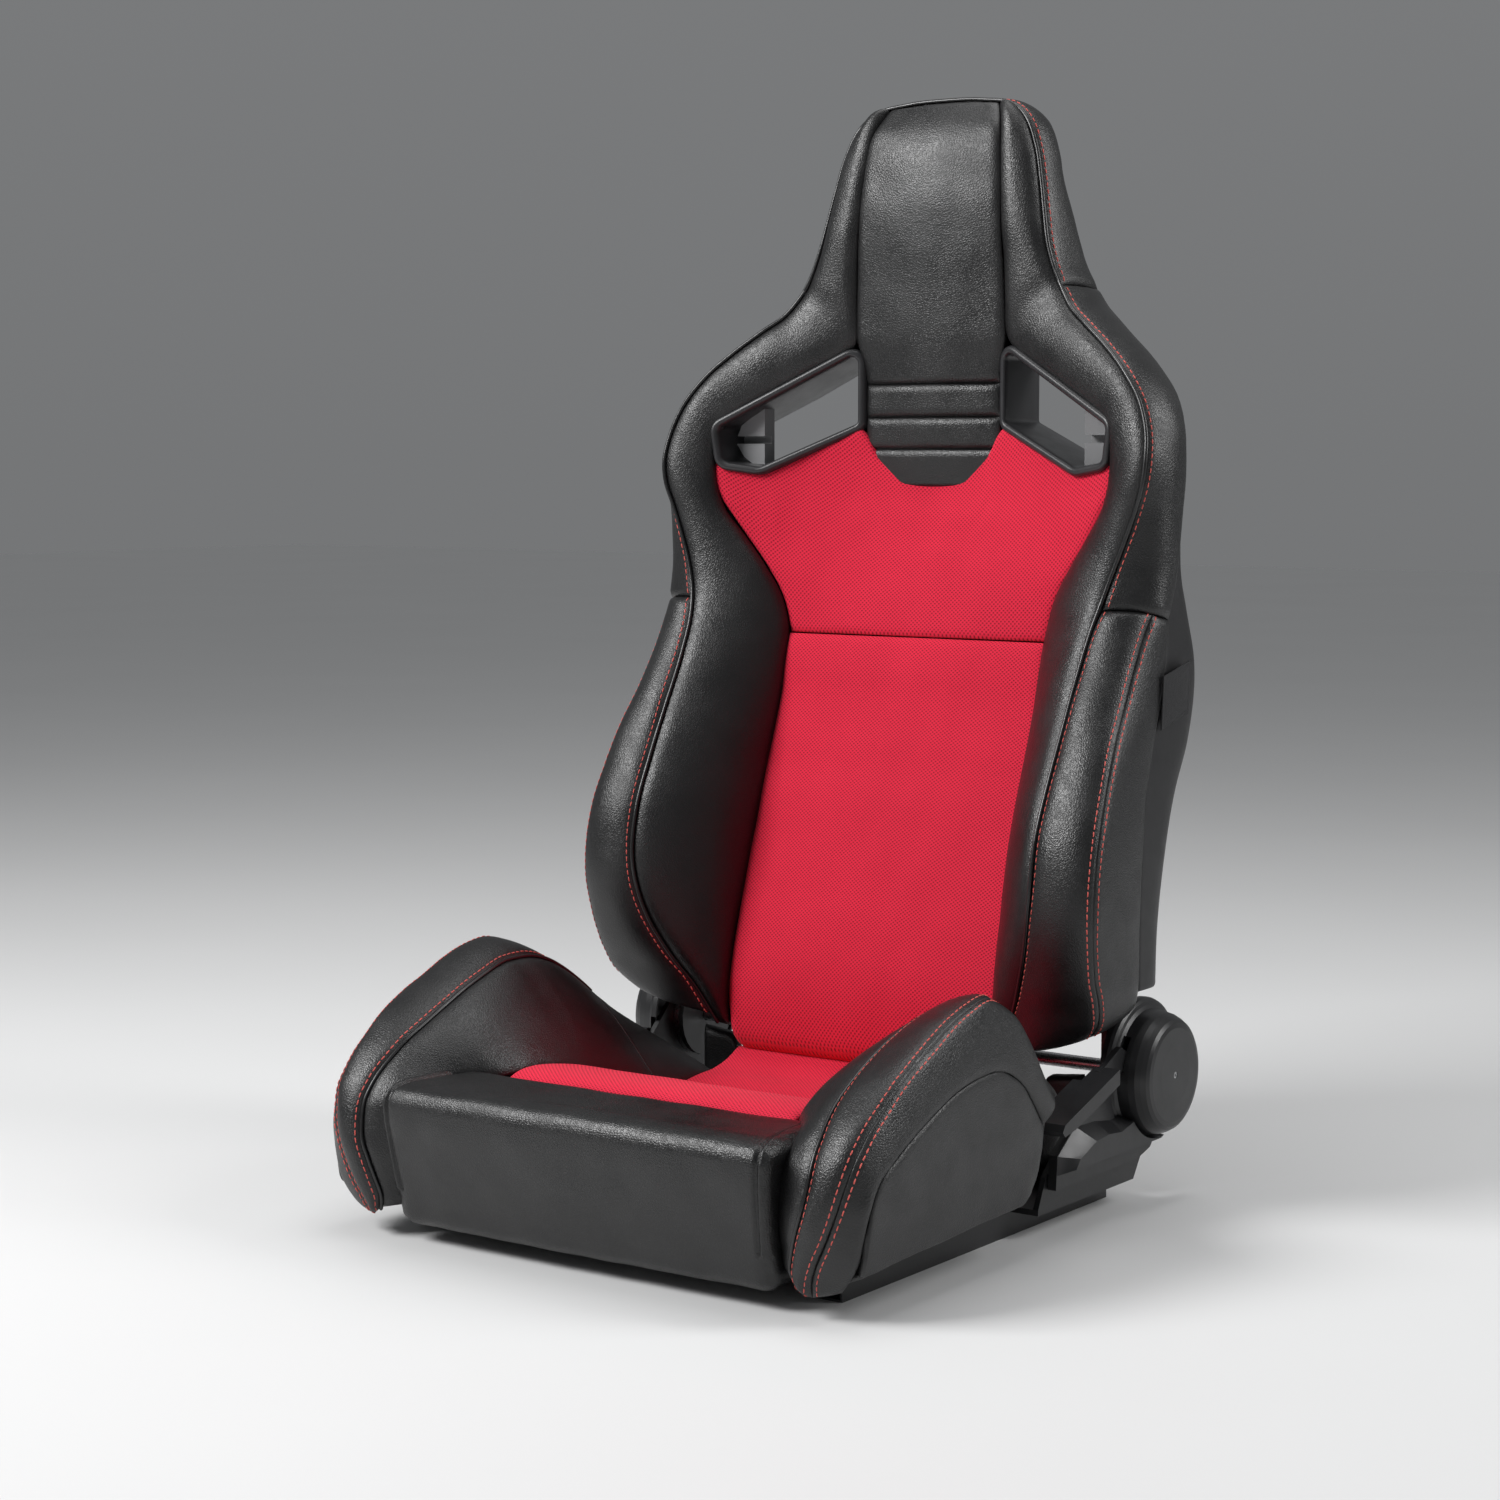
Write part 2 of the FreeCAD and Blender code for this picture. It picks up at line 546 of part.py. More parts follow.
# ---------------------------------------------------------------- backrest frame
def make_backrest_frame():
    """Bent hoop, lower and upper bars, zigzag back springs and their clips."""
    half = size("hoop_half_width")
    left = [V(half, 217, 170), V(half, 219, 235), V(half, 240, 320), V(half, 276, 430), V(half - 5, 277, 545),
            V(230, 268, 650), V(207, 281, 703), V(117, 312, 772), V(88, 317, 835), V(72, 318, 925)]
    hoop, solid_hoop = tube_along(both_sides(left), 18)
    feature("backrest_hoop", hoop)

    lower = cylinder_x(size("bar_radius"), -half, half, 219, 190).cut(solid_hoop)
    feature("backrest_lower_bar", lower.Solids[0])
    upper_route = both_sides([V(half - 3, 278, 552), V(130, 306, 552)])
    upper = rod_along(bent_path(upper_route, 60), size("bar_radius")).cut(solid_hoop)
    feature("backrest_upper_bar", max(upper.Solids, key=lambda solid: solid.Volume))

    clips = []
    reach = half - size("tube_radius")
    for number, (y, z) in enumerate(((228, 262), (252, 345), (276, 440)), 1):
        wire = spring_wire(V(-reach + 8, y, z), V(reach - 8, y, z), Z_AXIS, 9, 24)
        feature("backrest_spring_%d" % number, wire)
        for sign in (1, -1):
            start = sign * (reach - 8) - (0 if sign > 0 else 10)
            block = Part.makeBox(10, 10, 8, V(start, y - 5, z - 4))
            clips.append(block.cut(solid_hoop).Solids[0])
    feature("backrest_spring_clips", Part.makeCompound(clips))


# ---------------------------------------------------------------- backrest pads
# Lower back: height, front depth of the insert's edge, front seam (x, y), outer seam (x, y), rear depth.
LOWER_ROWS = (
    (157, 169, (166, 153), (172, 157), 196), (188, 176, (183, 134), (262, 133), 198),
    (228, 187, (200, 118), (265, 118), 198), (264, 197, (208, 110), (267, 112), 197),
    (315, 213, (211, 113), (268, 118), 200), (365, 229, (211, 131), (264, 139), 209),
    (402, 240, (211, 153), (260, 160), 225), (474, 255, (211, 190), (258, 214), 246),
    (515, 257, (217, 212), (257, 232), 253),
)
# Upper back: height, insert or opening edge (x, y), front seam (x, y), rear edge (x, y).
UPPER_ROWS = (
    (515, (146, 257), (217, 212), (258, 253)), (550, (166, 253), (226, 218), (262, 263)),
    (588, (194, 244), (240, 221), (262, 270)), (620, (213, 237), (252, 218), (262, 275)),
    (632, (212, 236), (253, 218), (261, 276)), (664, (211, 237), (252, 224), (258, 280)),
    (681, (203, 242), (247, 229), (252, 285)), (701, (171, 254), (237, 233), (241, 292)),
    (724, (133, 266), (216, 242), (220, 300)), (743, (95, 281), (196, 250), (200, 308)),
    (765, (81, 281), (166, 263), (170, 322)), (777, (80, 280), (141, 277), (147, 334)),
    (815, (79, 280), (127, 280), (129, 336)), (861, (77, 278), (114, 286), (118, 331)),
    (902, (74, 281), (105, 292), (108, 327)), (940, (69, 287), (92, 298), (95, 331)),
    (946, (67.5, 289), (88, 299), (91, 331)),
)
BEZEL_RIM = ((72, 730), (76, 740), (84, 744), (95, 743), (133, 724), (171, 701), (203, 681), (211, 664),
             (209, 655), (200, 642), (188, 634), (166, 632), (134, 646), (97, 662), (76, 672), (72, 682))


def opening_plane(x):
    """Depth of the bezels' slanted front plane at x."""
    return 286 - 0.355 * (abs(x) - 72)


def make_backrest_pads():
    """Red inserts, side bolsters, shoulder wings, neck pad and headrest pad."""
    gap = size("gap")
    deep = size("pad_thickness")
    rows = []
    bolster_rows = []
    for z, y, (front_x, front_y), (outer_x, outer_y), rear_y in LOWER_ROWS:
        edge = size("insert_half_width")
        rows.append(level(z, [(-edge, y), (edge, y), (edge, y + deep), (-edge, y + deep)]))
        inner = edge + gap
        outer_rear = outer_x if z < 180 else outer_x - 2
        bolster_rows.append(level(z, [(inner, y), (front_x, front_y), (outer_x, outer_y), (outer_rear, rear_y),
                                      (inner, max(y + deep, rear_y))]))
    lower_end = level(100, [(-144, 185), (144, 185), (144, 196), (-144, 196)])
    belly = level(130, [(-145, 171), (145, 171), (145, 196), (-145, 196)])
    feature("backrest_insert_lower", ruled_loft([lower_end, belly] + rows))
    bolster = ruled_loft(bolster_rows)

    wing_rows = []
    for z, (inner_x, inner_y), (front_x, front_y), (rear_x, rear_y) in UPPER_ROWS:
        skin = size("gusset_thickness")
        wing_rows.append(level(z, [(inner_x + gap, inner_y), (front_x, front_y), (rear_x, rear_y - 4),
                                   (rear_x - skin, rear_y - 4), (front_x - skin, front_y + deep + 4),
                                   (inner_x + gap, inner_y + deep)]))
    wing = ruled_loft(wing_rows)
    for side, sign in SIDES:
        feature("backrest_bolster_%s" % side, bolster if sign > 0 else mirrored(bolster))
        feature("shoulder_wing_%s" % side, wing if sign > 0 else mirrored(wing))

    upper = []
    edges = ((515, 146, 257, 262), (550, 166, 253, 271), (588, 194, 244, 280), (620, 212.5, 237, 288),
             (630.5, 211, 236, 290), (632, 165, 251, 290), (646, 133, 264, 289), (662, 97, 277, 288),
             (672, 77, 284, 288))
    for z, x, y, centre_y in edges:
        upper.append(level(z + gap, [(-x, y), (-70, centre_y), (70, centre_y), (x, y),
                                     (x, y + deep), (70, centre_y + deep), (-70, centre_y + deep), (-x, y + deep)]))
    neck_outline = [(73, 748), (73, 655), (64, 639), (51, 628), (36, 624)]
    neck_outline += [(-x, z) for x, z in reversed(neck_outline)]
    insert = ruled_loft(upper).cut(prism(neck_outline, 200, 400))
    rims = [prism(list(BEZEL_RIM), 200, 400), prism([(-x, z) for x, z in BEZEL_RIM], 200, 400)]
    insert = insert.cut(rims[0]).cut(rims[1])
    feature("backrest_insert_upper", max(insert.Solids, key=lambda solid: solid.Volume))

    inset = [(x - math.copysign(1, x), z) for x, z in neck_outline]
    neck = prism(inset, 200, 400).common(ruled_loft([
        level(620, [(-80, 292), (80, 292), (80, 310), (-80, 310)]),
        level(690, [(-80, 286), (80, 286), (80, 308), (-80, 308)]),
        level(748, [(-80, 281), (80, 281), (80, 302), (-80, 302)])]))
    feature("neck_pad", neck)

    pad_rows = ((749, 72, 281, 281), (765, 80, 279, 281), (815, 78.5, 275, 280), (861, 76.5, 273, 278),
                (902, 73.5, 276, 281), (940, 68.5, 283, 287), (947, 67, 286, 289))
    head = []
    for z, x, centre_y, y in pad_rows:
        head.append(level(z, [(-x, y), (0, centre_y), (x, y), (x, y + deep), (-x, y + deep)]))
    crown = [level(947, [(-67, 288), (67, 288), (85, 333), (-85, 333)]),
             level(958, [(-64, 293), (64, 293), (76, 336), (-76, 336)]),
             level(968, [(-58, 301), (58, 301), (64, 328), (-64, 328)])]
    feature("headrest_pad", ruled_loft(head).fuse(ruled_loft(crown)).removeSplitter())


# Rear shell: height, side edge (x, y), rear corner (x, y), half-way (x, y), depth on the centre line.
SHELL_ROWS = (
    (192, (262, 203), (259, 236), (150, 252), 256), (241, (262, 202), (259, 238), (150, 258), 263),
    (301, (262, 204), (259, 249), (150, 268), 274), (359, (260, 212), (257, 271), (150, 289), 296),
    (401, (258, 228), (257, 292), (150, 308), 314), (471, (257, 250), (258, 301), (150, 322), 328),
    (515, (256, 257), (256, 290), (150, 322), 331), (550, (260, 264), (257, 276), (150, 322), 333),
    (588, (260, 271), (256, 274), (150, 322), 334), (632, (258, 277), (252, 280), (150, 322), 335),
    (664, (255, 281), (249, 285), (150, 322), 336), (701, (239, 293), (232, 298), (140, 324), 338),
    (743, (199, 309), (193, 315), (120, 332), 341), (777, (145, 335), (139, 338), (90, 343), 345),
    (815, (127, 337), (122, 340), (80, 345), 347), (861, (116, 332), (111, 336), (75, 343), 346),
    (902, (106, 328), (101, 332), (70, 339), 342), (940, (94, 332), (89, 335), (60, 338), 340),
)


def make_rear_shell():
    """Thin moulded shell behind the pads, open at the two harness tunnels."""
    wall = size("shell_thickness")
    rows = []
    for z, edge, corner, half_way, centre_y in SHELL_ROWS:
        outer = [edge, corner, half_way, (0, centre_y)]
        inner = [(x - wall if place < 2 else x, y - (0 if place == 0 else wall))
                 for place, (x, y) in enumerate(outer)]
        full = [(x, y) for x, y in outer[:3]] + [outer[3]] + [(-x, y) for x, y in outer[2::-1]]
        full += [(-x, y) for x, y in inner[:3]] + [inner[3]] + [(x, y) for x, y in inner[2::-1]]
        rows.append(level(z, full))
    shell = ruled_loft(rows)
    rim = Part.Face(slice_at(0, BEZEL_RIM)).makeOffset2D(-size("bezel_wall") + size("gap"))
    tunnel = rim.extrude(V(0, 500, 0))
    shell = shell.cut(tunnel).cut(mirrored(tunnel))
    feature("rear_shell", max(shell.Solids, key=lambda solid: solid.Volume))


def make_bezels():
    """Plastic harness guides: a front lip, a tunnel to the rear shell, and a belt retainer block."""
    lip_depth = 6
    front_tool = side_slab(-2.5, lip_depth)
    body_tool = side_slab(lip_depth, 200)
    outline = Part.Face(slice_at(200, BEZEL_RIM))
    rear_cut = ruled_loft([level(600, rear_band()), level(760, rear_band())])
    opening = outline.makeOffset2D(-size("bezel_rim")).extrude(V(0, 200, 0))
    lip = outline.extrude(V(0, 200, 0)).common(front_tool).cut(opening)
    wall_outer = outline.makeOffset2D(-size("bezel_wall")).extrude(V(0, 200, 0))
    tunnel = wall_outer.cut(opening).common(body_tool).common(rear_cut)
    bezel = lip.fuse(tunnel).removeSplitter()
    block = Part.makeBox(40, 16, 90, V(171, 262, 620)).common(opening)
    block = block.cut(Part.makeBox(60, 40, 7, V(168, 255, 659)))
    block = block.fuse(Part.makeBox(60, 4, 7.2, V(168, 274, 658.9)).common(opening).common(
        Part.makeBox(40, 16, 90, V(171, 262, 620)))).removeSplitter()
    for side, sign in SIDES:
        feature("harness_bezel_%s" % side, bezel if sign > 0 else mirrored(bezel))
        feature("belt_retainer_%s" % side, block if sign > 0 else mirrored(block))


def side_slab(near, far):
    """Slab parallel to the bezel's front plane, from near to far behind it."""
    low_x, high_x = 60, 225
    corners = [(low_x, opening_plane(low_x) + near), (high_x, opening_plane(high_x) + near),
               (high_x, opening_plane(high_x) + far), (low_x, opening_plane(low_x) + far)]
    return ruled_loft([level(600, corners), level(780, corners)])


def rear_band():
    """Plan of the space in front of the rear shell's outer face, around the tunnels."""
    return [(60, 200), (60, 338), (150, 321), (225, 292), (225, 200)]


def make_side_tag():
    """Plain folded fabric tab, sewn into the left rear seam."""
    tag = side_prism([(228, 414), (277, 430), (279, 468), (240, 458)], 264.5, 266)
    feature("side_tag", tag)


make_rails()
make_cushion_frame()
make_cushion()
make_recliners()
make_recliner_covers()
make_release()
make_backrest_frame()
make_backrest_pads()
make_rear_shell()
make_bezels()
make_side_tag()
doc.recompute()

# ---------------------------------------------------------------- checks and files
for item in doc.Objects:
    if "Invalid" in item.State or "Error" in item.State:
        raise RuntimeError("%s did not rebuild: %s" % (item.Label, item.State))
for item in nodes:
    if item.Shape.isNull() or not item.Shape.isValid():
        raise RuntimeError("%s has no valid shape" % item.Label)
os.makedirs("parts", exist_ok=True)
for item in nodes:
    item.Shape.exportStep(os.path.join("parts", item.Label + ".step"))
    print("%-26s %2d solids %12.0f mm3" % (item.Label, len(item.Shape.Solids), item.Shape.Volume))
print(len(nodes), "nodes")
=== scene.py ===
"""Racing seat: upholstery, finishes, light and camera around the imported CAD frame.

The soft parts are sewn panels. Each one is a closed form laid over a few lines, which are lists of
(x, y, z) points in mm on the seat's left side; the right side is their mirror image. The points are
estimates from one view of the seat, rounded and then adjusted against renders.
"""

import json
import math
import random

import bmesh
import bpy
import numpy as np
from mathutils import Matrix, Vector


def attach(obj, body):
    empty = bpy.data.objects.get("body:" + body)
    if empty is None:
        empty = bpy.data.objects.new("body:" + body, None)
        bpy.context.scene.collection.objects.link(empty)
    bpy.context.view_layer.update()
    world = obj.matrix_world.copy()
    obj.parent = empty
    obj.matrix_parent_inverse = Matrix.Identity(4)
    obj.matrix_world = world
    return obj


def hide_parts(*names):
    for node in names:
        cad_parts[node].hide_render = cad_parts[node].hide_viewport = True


MM = 0.001
SIDES = (("left", 1.0), ("right", -1.0))
GRID_FAR = 1e3  # stands for "no seam near" in distances, mm
RNG = random.Random(7)

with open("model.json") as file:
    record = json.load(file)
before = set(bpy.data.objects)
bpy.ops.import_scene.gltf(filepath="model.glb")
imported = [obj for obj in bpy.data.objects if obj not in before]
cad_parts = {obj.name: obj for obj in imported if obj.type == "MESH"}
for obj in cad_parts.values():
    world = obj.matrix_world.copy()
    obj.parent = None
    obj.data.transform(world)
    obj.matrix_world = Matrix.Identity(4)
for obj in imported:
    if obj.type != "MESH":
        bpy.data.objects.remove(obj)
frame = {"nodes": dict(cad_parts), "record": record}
nodes = frame["nodes"]
bpy.context.view_layer.update()
scene = bpy.context.scene
scene.view_settings.view_transform = "Standard"


# ---------------- materials
class Graph:
    """Small helper that builds a node tree."""

    def __init__(self, name):
        self.material = bpy.data.materials.new(name)
        self.material.use_nodes = True
        self.tree = self.material.node_tree
        self.shader = self.tree.nodes["Principled BSDF"]
        coords = self.tree.nodes.new("ShaderNodeTexCoord")
        self.place = coords.outputs["Object"]

    def node(self, kind, inputs=(), **settings):
        made = self.tree.nodes.new(kind)
        for key, value in settings.items():
            setattr(made, key, value)
        for key, value in dict(inputs).items():
            if isinstance(value, bpy.types.NodeSocket):
                self.tree.links.new(value, made.inputs[key])
            else:
                made.inputs[key].default_value = value
        return made

    def math(self, operation, *values):
        return self.node("ShaderNodeMath", enumerate(values), operation=operation).outputs[0]

    def noise(self, scale, detail=2.0, roughness=0.5):
        return self.node("ShaderNodeTexNoise", {
            "Vector": self.place, "Scale": scale, "Detail": detail,
            "Roughness": roughness}).outputs["Fac"]

    def remap(self, value, low, high, to_low, to_high):
        return self.node("ShaderNodeMapRange", {
            0: value, 1: low, 2: high, 3: to_low, 4: to_high}).outputs[0]

    def blend(self, factor, first, second):
        made = self.node("ShaderNodeMix", data_type="RGBA")
        self.tree.links.new(factor, made.inputs[0])
        for socket, value in ((made.inputs[6], first), (made.inputs[7], second)):
            if isinstance(value, bpy.types.NodeSocket):
                self.tree.links.new(value, socket)
            else:
                socket.default_value = (*value, 1.0)
        return made.outputs[2]

    def bump(self, height, strength, distance, under=None):
        inputs = {"Strength": strength, "Distance": distance, "Height": height}
        if under is not None:
            inputs["Normal"] = under
        return self.node("ShaderNodeBump", inputs).outputs["Normal"]

    def set(self, **values):
        for key, value in values.items():
            socket = self.shader.inputs[key.replace("_", " ")]
            if isinstance(value, bpy.types.NodeSocket):
                self.tree.links.new(value, socket)
            elif isinstance(value, tuple) and len(value) == 3:
                socket.default_value = (*value, 1.0)
            else:
                socket.default_value = value
        return self.material


def vinyl_material(name, dark, light, rough, grain=0.42):
    g = Graph(name)
    warp = g.node("ShaderNodeTexNoise", {"Vector": g.place, "Scale": 260.0, "Detail": 1.0})
    pull = g.node("ShaderNodeVectorMath", {0: warp.outputs["Color"], 1: (0.0016,) * 3},
                  operation="MULTIPLY").outputs[0]
    moved = g.node("ShaderNodeVectorMath", {0: g.place, 1: pull}, operation="ADD").outputs[0]
    cells = g.node("ShaderNodeTexVoronoi", {"Vector": moved, "Scale": 470.0},
                   feature="DISTANCE_TO_EDGE").outputs["Distance"]
    pebbles = g.remap(cells, 0.0, 0.32, 0.0, 1.0)
    creases = g.noise(95.0, 3.0, 0.55)
    broad = g.noise(9.0, 2.0)
    fold = g.bump(creases, 0.15, 0.0010)
    normal = g.bump(pebbles, grain, 0.00034, fold)
    worn = g.remap(g.noise(38.0, 3.0), 0.35, 0.7, rough - 0.05, rough + 0.06)
    tone = g.blend(g.remap(broad, 0.3, 0.7, 0.0, 1.0), dark, light)
    # Painted shade: the grain valleys, where the bump sinks, are coloured with a darker copy of the dark
    # tone.
    valley = g.blend(pebbles, tuple(c * 0.55 for c in dark), tone)
    return g.set(Base_Color=valley, Roughness=worn, Normal=normal, Specular_IOR_Level=0.6)


def red_material(name):
    """Woven red mesh: two crossing rib directions with small dark gaps between."""
    g = Graph(name)
    split = g.node("ShaderNodeSeparateXYZ", {0: g.place})
    across = split.outputs["X"]
    along = g.math("ADD", split.outputs["Y"], split.outputs["Z"])
    turn = 2 * math.pi / 0.0042
    rise = g.math("COSINE", g.math("MULTIPLY", across, turn))
    fall = g.math("COSINE", g.math("MULTIPLY", along, turn))
    lattice = g.math("MULTIPLY", rise, fall)
    ribs = g.remap(lattice, -0.9, 0.1, 1.0, 0.0)
    hole = g.remap(lattice, 0.25, 0.80, 0.0, 1.0)
    fibre = g.noise(2200.0, 2.0)
    broad = g.noise(11.0, 2.0)
    yarn = g.blend(g.remap(broad, 0.3, 0.7, 0.0, 1.0), (0.62, 0.010, 0.040), (0.68, 0.013, 0.046))
    lit = g.blend(g.math("MULTIPLY", ribs, 0.4), yarn, (0.84, 0.030, 0.072))
    colour = g.blend(g.math("MULTIPLY", hole, 0.88), lit, (0.13, 0.002, 0.008))
    height = g.math("SUBTRACT", g.math("MULTIPLY", fibre, 0.2), hole)
    return g.set(Base_Color=colour, Roughness=0.82, Normal=g.bump(height, 0.5, 0.0006),
                 Sheen_Weight=0.12, Sheen_Roughness=0.5, Sheen_Tint=(1.0, 0.45, 0.45),
                 Specular_IOR_Level=0.25)


def thread_material(name, colour):
    g = Graph(name)
    twist = g.node("ShaderNodeTexWave", {"Vector": g.place, "Scale": 900.0, "Distortion": 2.0})
    tone = g.blend(twist.outputs["Fac"], tuple(c * 0.6 for c in colour), colour)
    return g.set(Base_Color=tone, Roughness=0.6, Normal=g.bump(twist.outputs["Fac"], 0.3, 0.0002))


def plastic_material(name, colour, rough, scale=1500.0, strength=0.16):
    g = Graph(name)
    texture = g.noise(scale, 2.0)
    cloud = g.noise(14.0, 3.0)
    tone = g.blend(g.remap(cloud, 0.3, 0.7, 0.0, 1.0), tuple(c * 0.82 for c in colour), colour)
    shine = g.remap(g.noise(45.0, 4.0, 0.6), 0.3, 0.7, rough - 0.05, rough + 0.05)
    return g.set(Base_Color=tone, Roughness=shine, Normal=g.bump(texture, strength, 0.0003))


def metal_material(name, colour, rough, metallic=1.0, scale=700.0):
    g = Graph(name)
    scratch = g.noise(scale, 4.0, 0.65)
    stain = g.noise(30.0, 4.0, 0.6)
    tone = g.blend(g.remap(stain, 0.35, 0.7, 0.0, 1.0), tuple(c * 0.75 for c in colour), colour)
    shine = g.remap(scratch, 0.3, 0.7, rough - 0.07, rough + 0.08)
    return g.set(Base_Color=tone, Roughness=shine, Metallic=metallic,
                 Normal=g.bump(scratch, 0.08, 0.0002))


def cloth_material(name, colour, pitch):
    g = Graph(name)
    split = g.node("ShaderNodeSeparateXYZ", {0: g.place})
    turn = 2 * math.pi / pitch
    warp = g.math("SINE", g.math("MULTIPLY", split.outputs["X"], turn))
    sweep = g.math("ADD", split.outputs["Y"], split.outputs["Z"])
    weft = g.math("SINE", g.math("MULTIPLY", sweep, turn))
    height = g.math("MULTIPLY", warp, weft)
    tone = g.blend(g.remap(height, -0.6, 0.8, 0.0, 1.0), tuple(c * 0.5 for c in colour), colour)
    return g.set(Base_Color=tone, Roughness=0.9, Normal=g.bump(height, 0.5, 0.0004))


def foam_material(name, colour):
    g = Graph(name)
    pores = g.node("ShaderNodeTexVoronoi", {"Vector": g.place, "Scale": 420.0}).outputs["Distance"]
    blotch = g.noise(18.0, 3.0)
    tone = g.blend(g.remap(blotch, 0.3, 0.7, 0.0, 1.0), tuple(c * 0.8 for c in colour), colour)
    return g.set(Base_Color=tone, Roughness=0.95, Normal=g.bump(pores, 0.5, 0.0008))


VINYL = vinyl_material("black_vinyl", (0.0042, 0.0042, 0.0046), (0.0066, 0.0066, 0.0071), 0.40)
PIPING = vinyl_material("piping_vinyl", (0.0055, 0.0055, 0.0060), (0.0080, 0.0080, 0.0086), 0.33, 0.08)
RED = red_material("red_weave")
THREAD = thread_material("red_thread", (0.80, 0.13, 0.105))
TRIM = plastic_material("trim_plastic", (0.013, 0.013, 0.014), 0.36)
SHELL = plastic_material("shell_plastic", (0.010, 0.010, 0.011), 0.44, 1100.0, 0.25)
BEZEL = plastic_material("bezel_plastic", (0.024, 0.024, 0.026), 0.36)
RETAINER = plastic_material("retainer_plastic", (0.20, 0.20, 0.205), 0.38)
STEEL = metal_material("frame_steel", (0.014, 0.014, 0.015), 0.38, 0.0, 900.0)
ZINC = metal_material("zinc_steel", (0.55, 0.55, 0.56), 0.30)
SPRING = metal_material("spring_steel", (0.22, 0.22, 0.23), 0.36)
LINER = cloth_material("liner_cloth", (0.035, 0.035, 0.036), 0.0016)
TAG = cloth_material("tag_cloth", (0.034, 0.034, 0.036), 0.0009)
FOAM = foam_material("moulded_foam", (0.72, 0.64, 0.44))

SLOT_MATERIAL = {
    "vinyl": VINYL, "red_fabric": RED, "foam": FOAM, "liner_cloth": LINER,
    "frame_steel": STEEL, "zinc_steel": ZINC, "spring_steel": SPRING,
    "trim_plastic": TRIM, "shell_plastic": SHELL, "retainer_plastic": RETAINER,
}
for part in frame["record"]["subparts"]:
    shown = nodes[part["node"]]
    shown.data.materials.clear()
    shown.data.materials.append(SLOT_MATERIAL[part["material_slot"]])


# ---------------- curves and meshes
def through(points, params, at):
    """Smooth curve through the points at the given parameters, read at each of `at`."""
    p, t, at = np.asarray(points, float), np.asarray(params, float), np.asarray(at, float)
    span = np.diff(t)
    slope = np.diff(p, axis=0) / span.reshape((-1,) + (1,) * (p.ndim - 1))
    lead = span.reshape((-1,) + (1,) * (p.ndim - 1))
    tangent = np.empty_like(p)
    tangent[1:-1] = (slope[:-1] * lead[1:] + slope[1:] * lead[:-1]) / (lead[1:] + lead[:-1])
    tangent[0], tangent[-1] = slope[0], slope[-1]
    i = np.clip(np.searchsorted(t, at, side="right") - 1, 0, len(t) - 2)
    shape = (-1,) + (1,) * (p.ndim - 1)
    h, s = span[i].reshape(shape), ((at - t[i]) / span[i]).reshape(shape)
    return ((2 * s**3 - 3 * s**2 + 1) * p[i] + (s**3 - 2 * s**2 + s) * h * tangent[i]
            + (3 * s**2 - 2 * s**3) * p[i + 1] + (s**3 - s**2) * h * tangent[i + 1])


def chord_params(points):
    """Distance along a polyline at each of its points."""
    steps = np.linalg.norm(np.diff(np.asarray(points, float), axis=0), axis=-1)
    return np.concatenate([[0.0], np.cumsum(np.maximum(steps, 1e-6))])


def sample(points, params, at):
    """Straight-line reading of a polyline at the given parameter or parameters."""
    return np.stack([np.interp(at, params, points[:, k]) for k in range(points.shape[1])], axis=-1)


def even(points, spacing):
    """The same polyline cut into equal steps."""
    t = chord_params(points)
    count = max(2, int(round(t[-1] / spacing)) + 1)
    return sample(points, t, np.linspace(0, t[-1], count))


def unit(vectors):
    """Vectors scaled to length 1."""
    return vectors / np.maximum(np.linalg.norm(vectors, axis=-1, keepdims=True), 1e-12)


def flip(points, sign):
    """The same points on the given side."""
    return [(x * sign, y, z) for x, y, z in points]


def columns_of(rows, sign):
    """Rows of points turned into lines along the panel, on the given side."""
    return [flip(line, sign) for line in zip(*rows)]


def mirrored(line):
    """A line from one side carried over the middle to the other side."""
    return line + flip(line[-2::-1], -1)


def ring_faces(rings, count, first=0, wrap=False, turned=False):
    """Quads between neighbouring rings of `count` points, numbered from `first`."""
    faces = []
    for i in range(rings if wrap else rings - 1):
        a, b = first + i * count, first + (i + 1) % rings * count
        for j in range(count):
            m = (j + 1) % count
            face = [a + j, b + j, b + m, a + m]
            faces.append(face[:1] + face[:0:-1] if turned else face)
    return faces


def make_object(name, vertices, faces, material, body):
    """A smooth-shaded mesh from points in mm, riding on a body."""
    mesh = bpy.data.meshes.new(name)
    mesh.from_pydata((np.asarray(vertices) * MM).tolist(), [], faces)
    mesh.update()
    made = bpy.data.objects.new(name, mesh)
    scene.collection.objects.link(made)
    mesh.materials.append(material)
    mesh.shade_smooth()
    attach(made, body)
    return made


def rolled(distance, width):
    """0 at a seam, rising like a quarter circle to 1 at the given width."""
    s = np.clip(distance / width, 0.0, 1.0)
    return np.sqrt(1.0 - (1.0 - s) ** 2)


def wobble(x, y, z, wave):
    """Smooth, repeatable unevenness between about -1 and 1."""
    k = 2 * math.pi / wave
    return (np.sin(k * (x + 0.37 * z) + 1.7 * np.sin(k * 0.61 * y + 0.4))
            * np.cos(k * (0.83 * z - 0.21 * x) + 1.3 * np.sin(k * 0.47 * x + 2.1)))


EDGE_STEPS = np.array([0.0, 0.35, 0.9, 1.8, 3.1, 4.8, 6.8, 9.2])


def spread(length, spacing, marks):
    """Distances from 0 to length, close together beside each mark."""
    fine = [np.linspace(0, length, max(3, int(length / spacing) + 1))]
    for mark in marks:
        fine.append(mark + EDGE_STEPS * 0.8)
        fine.append(mark - EDGE_STEPS * 0.8)
    merged = np.unique(np.clip(np.concatenate(fine), 0, length))
    kept = [merged[0]]
    for value in merged[1:]:
        if value - kept[-1] > 0.25:
            kept.append(value)
    kept[-1] = length
    return np.array(kept)


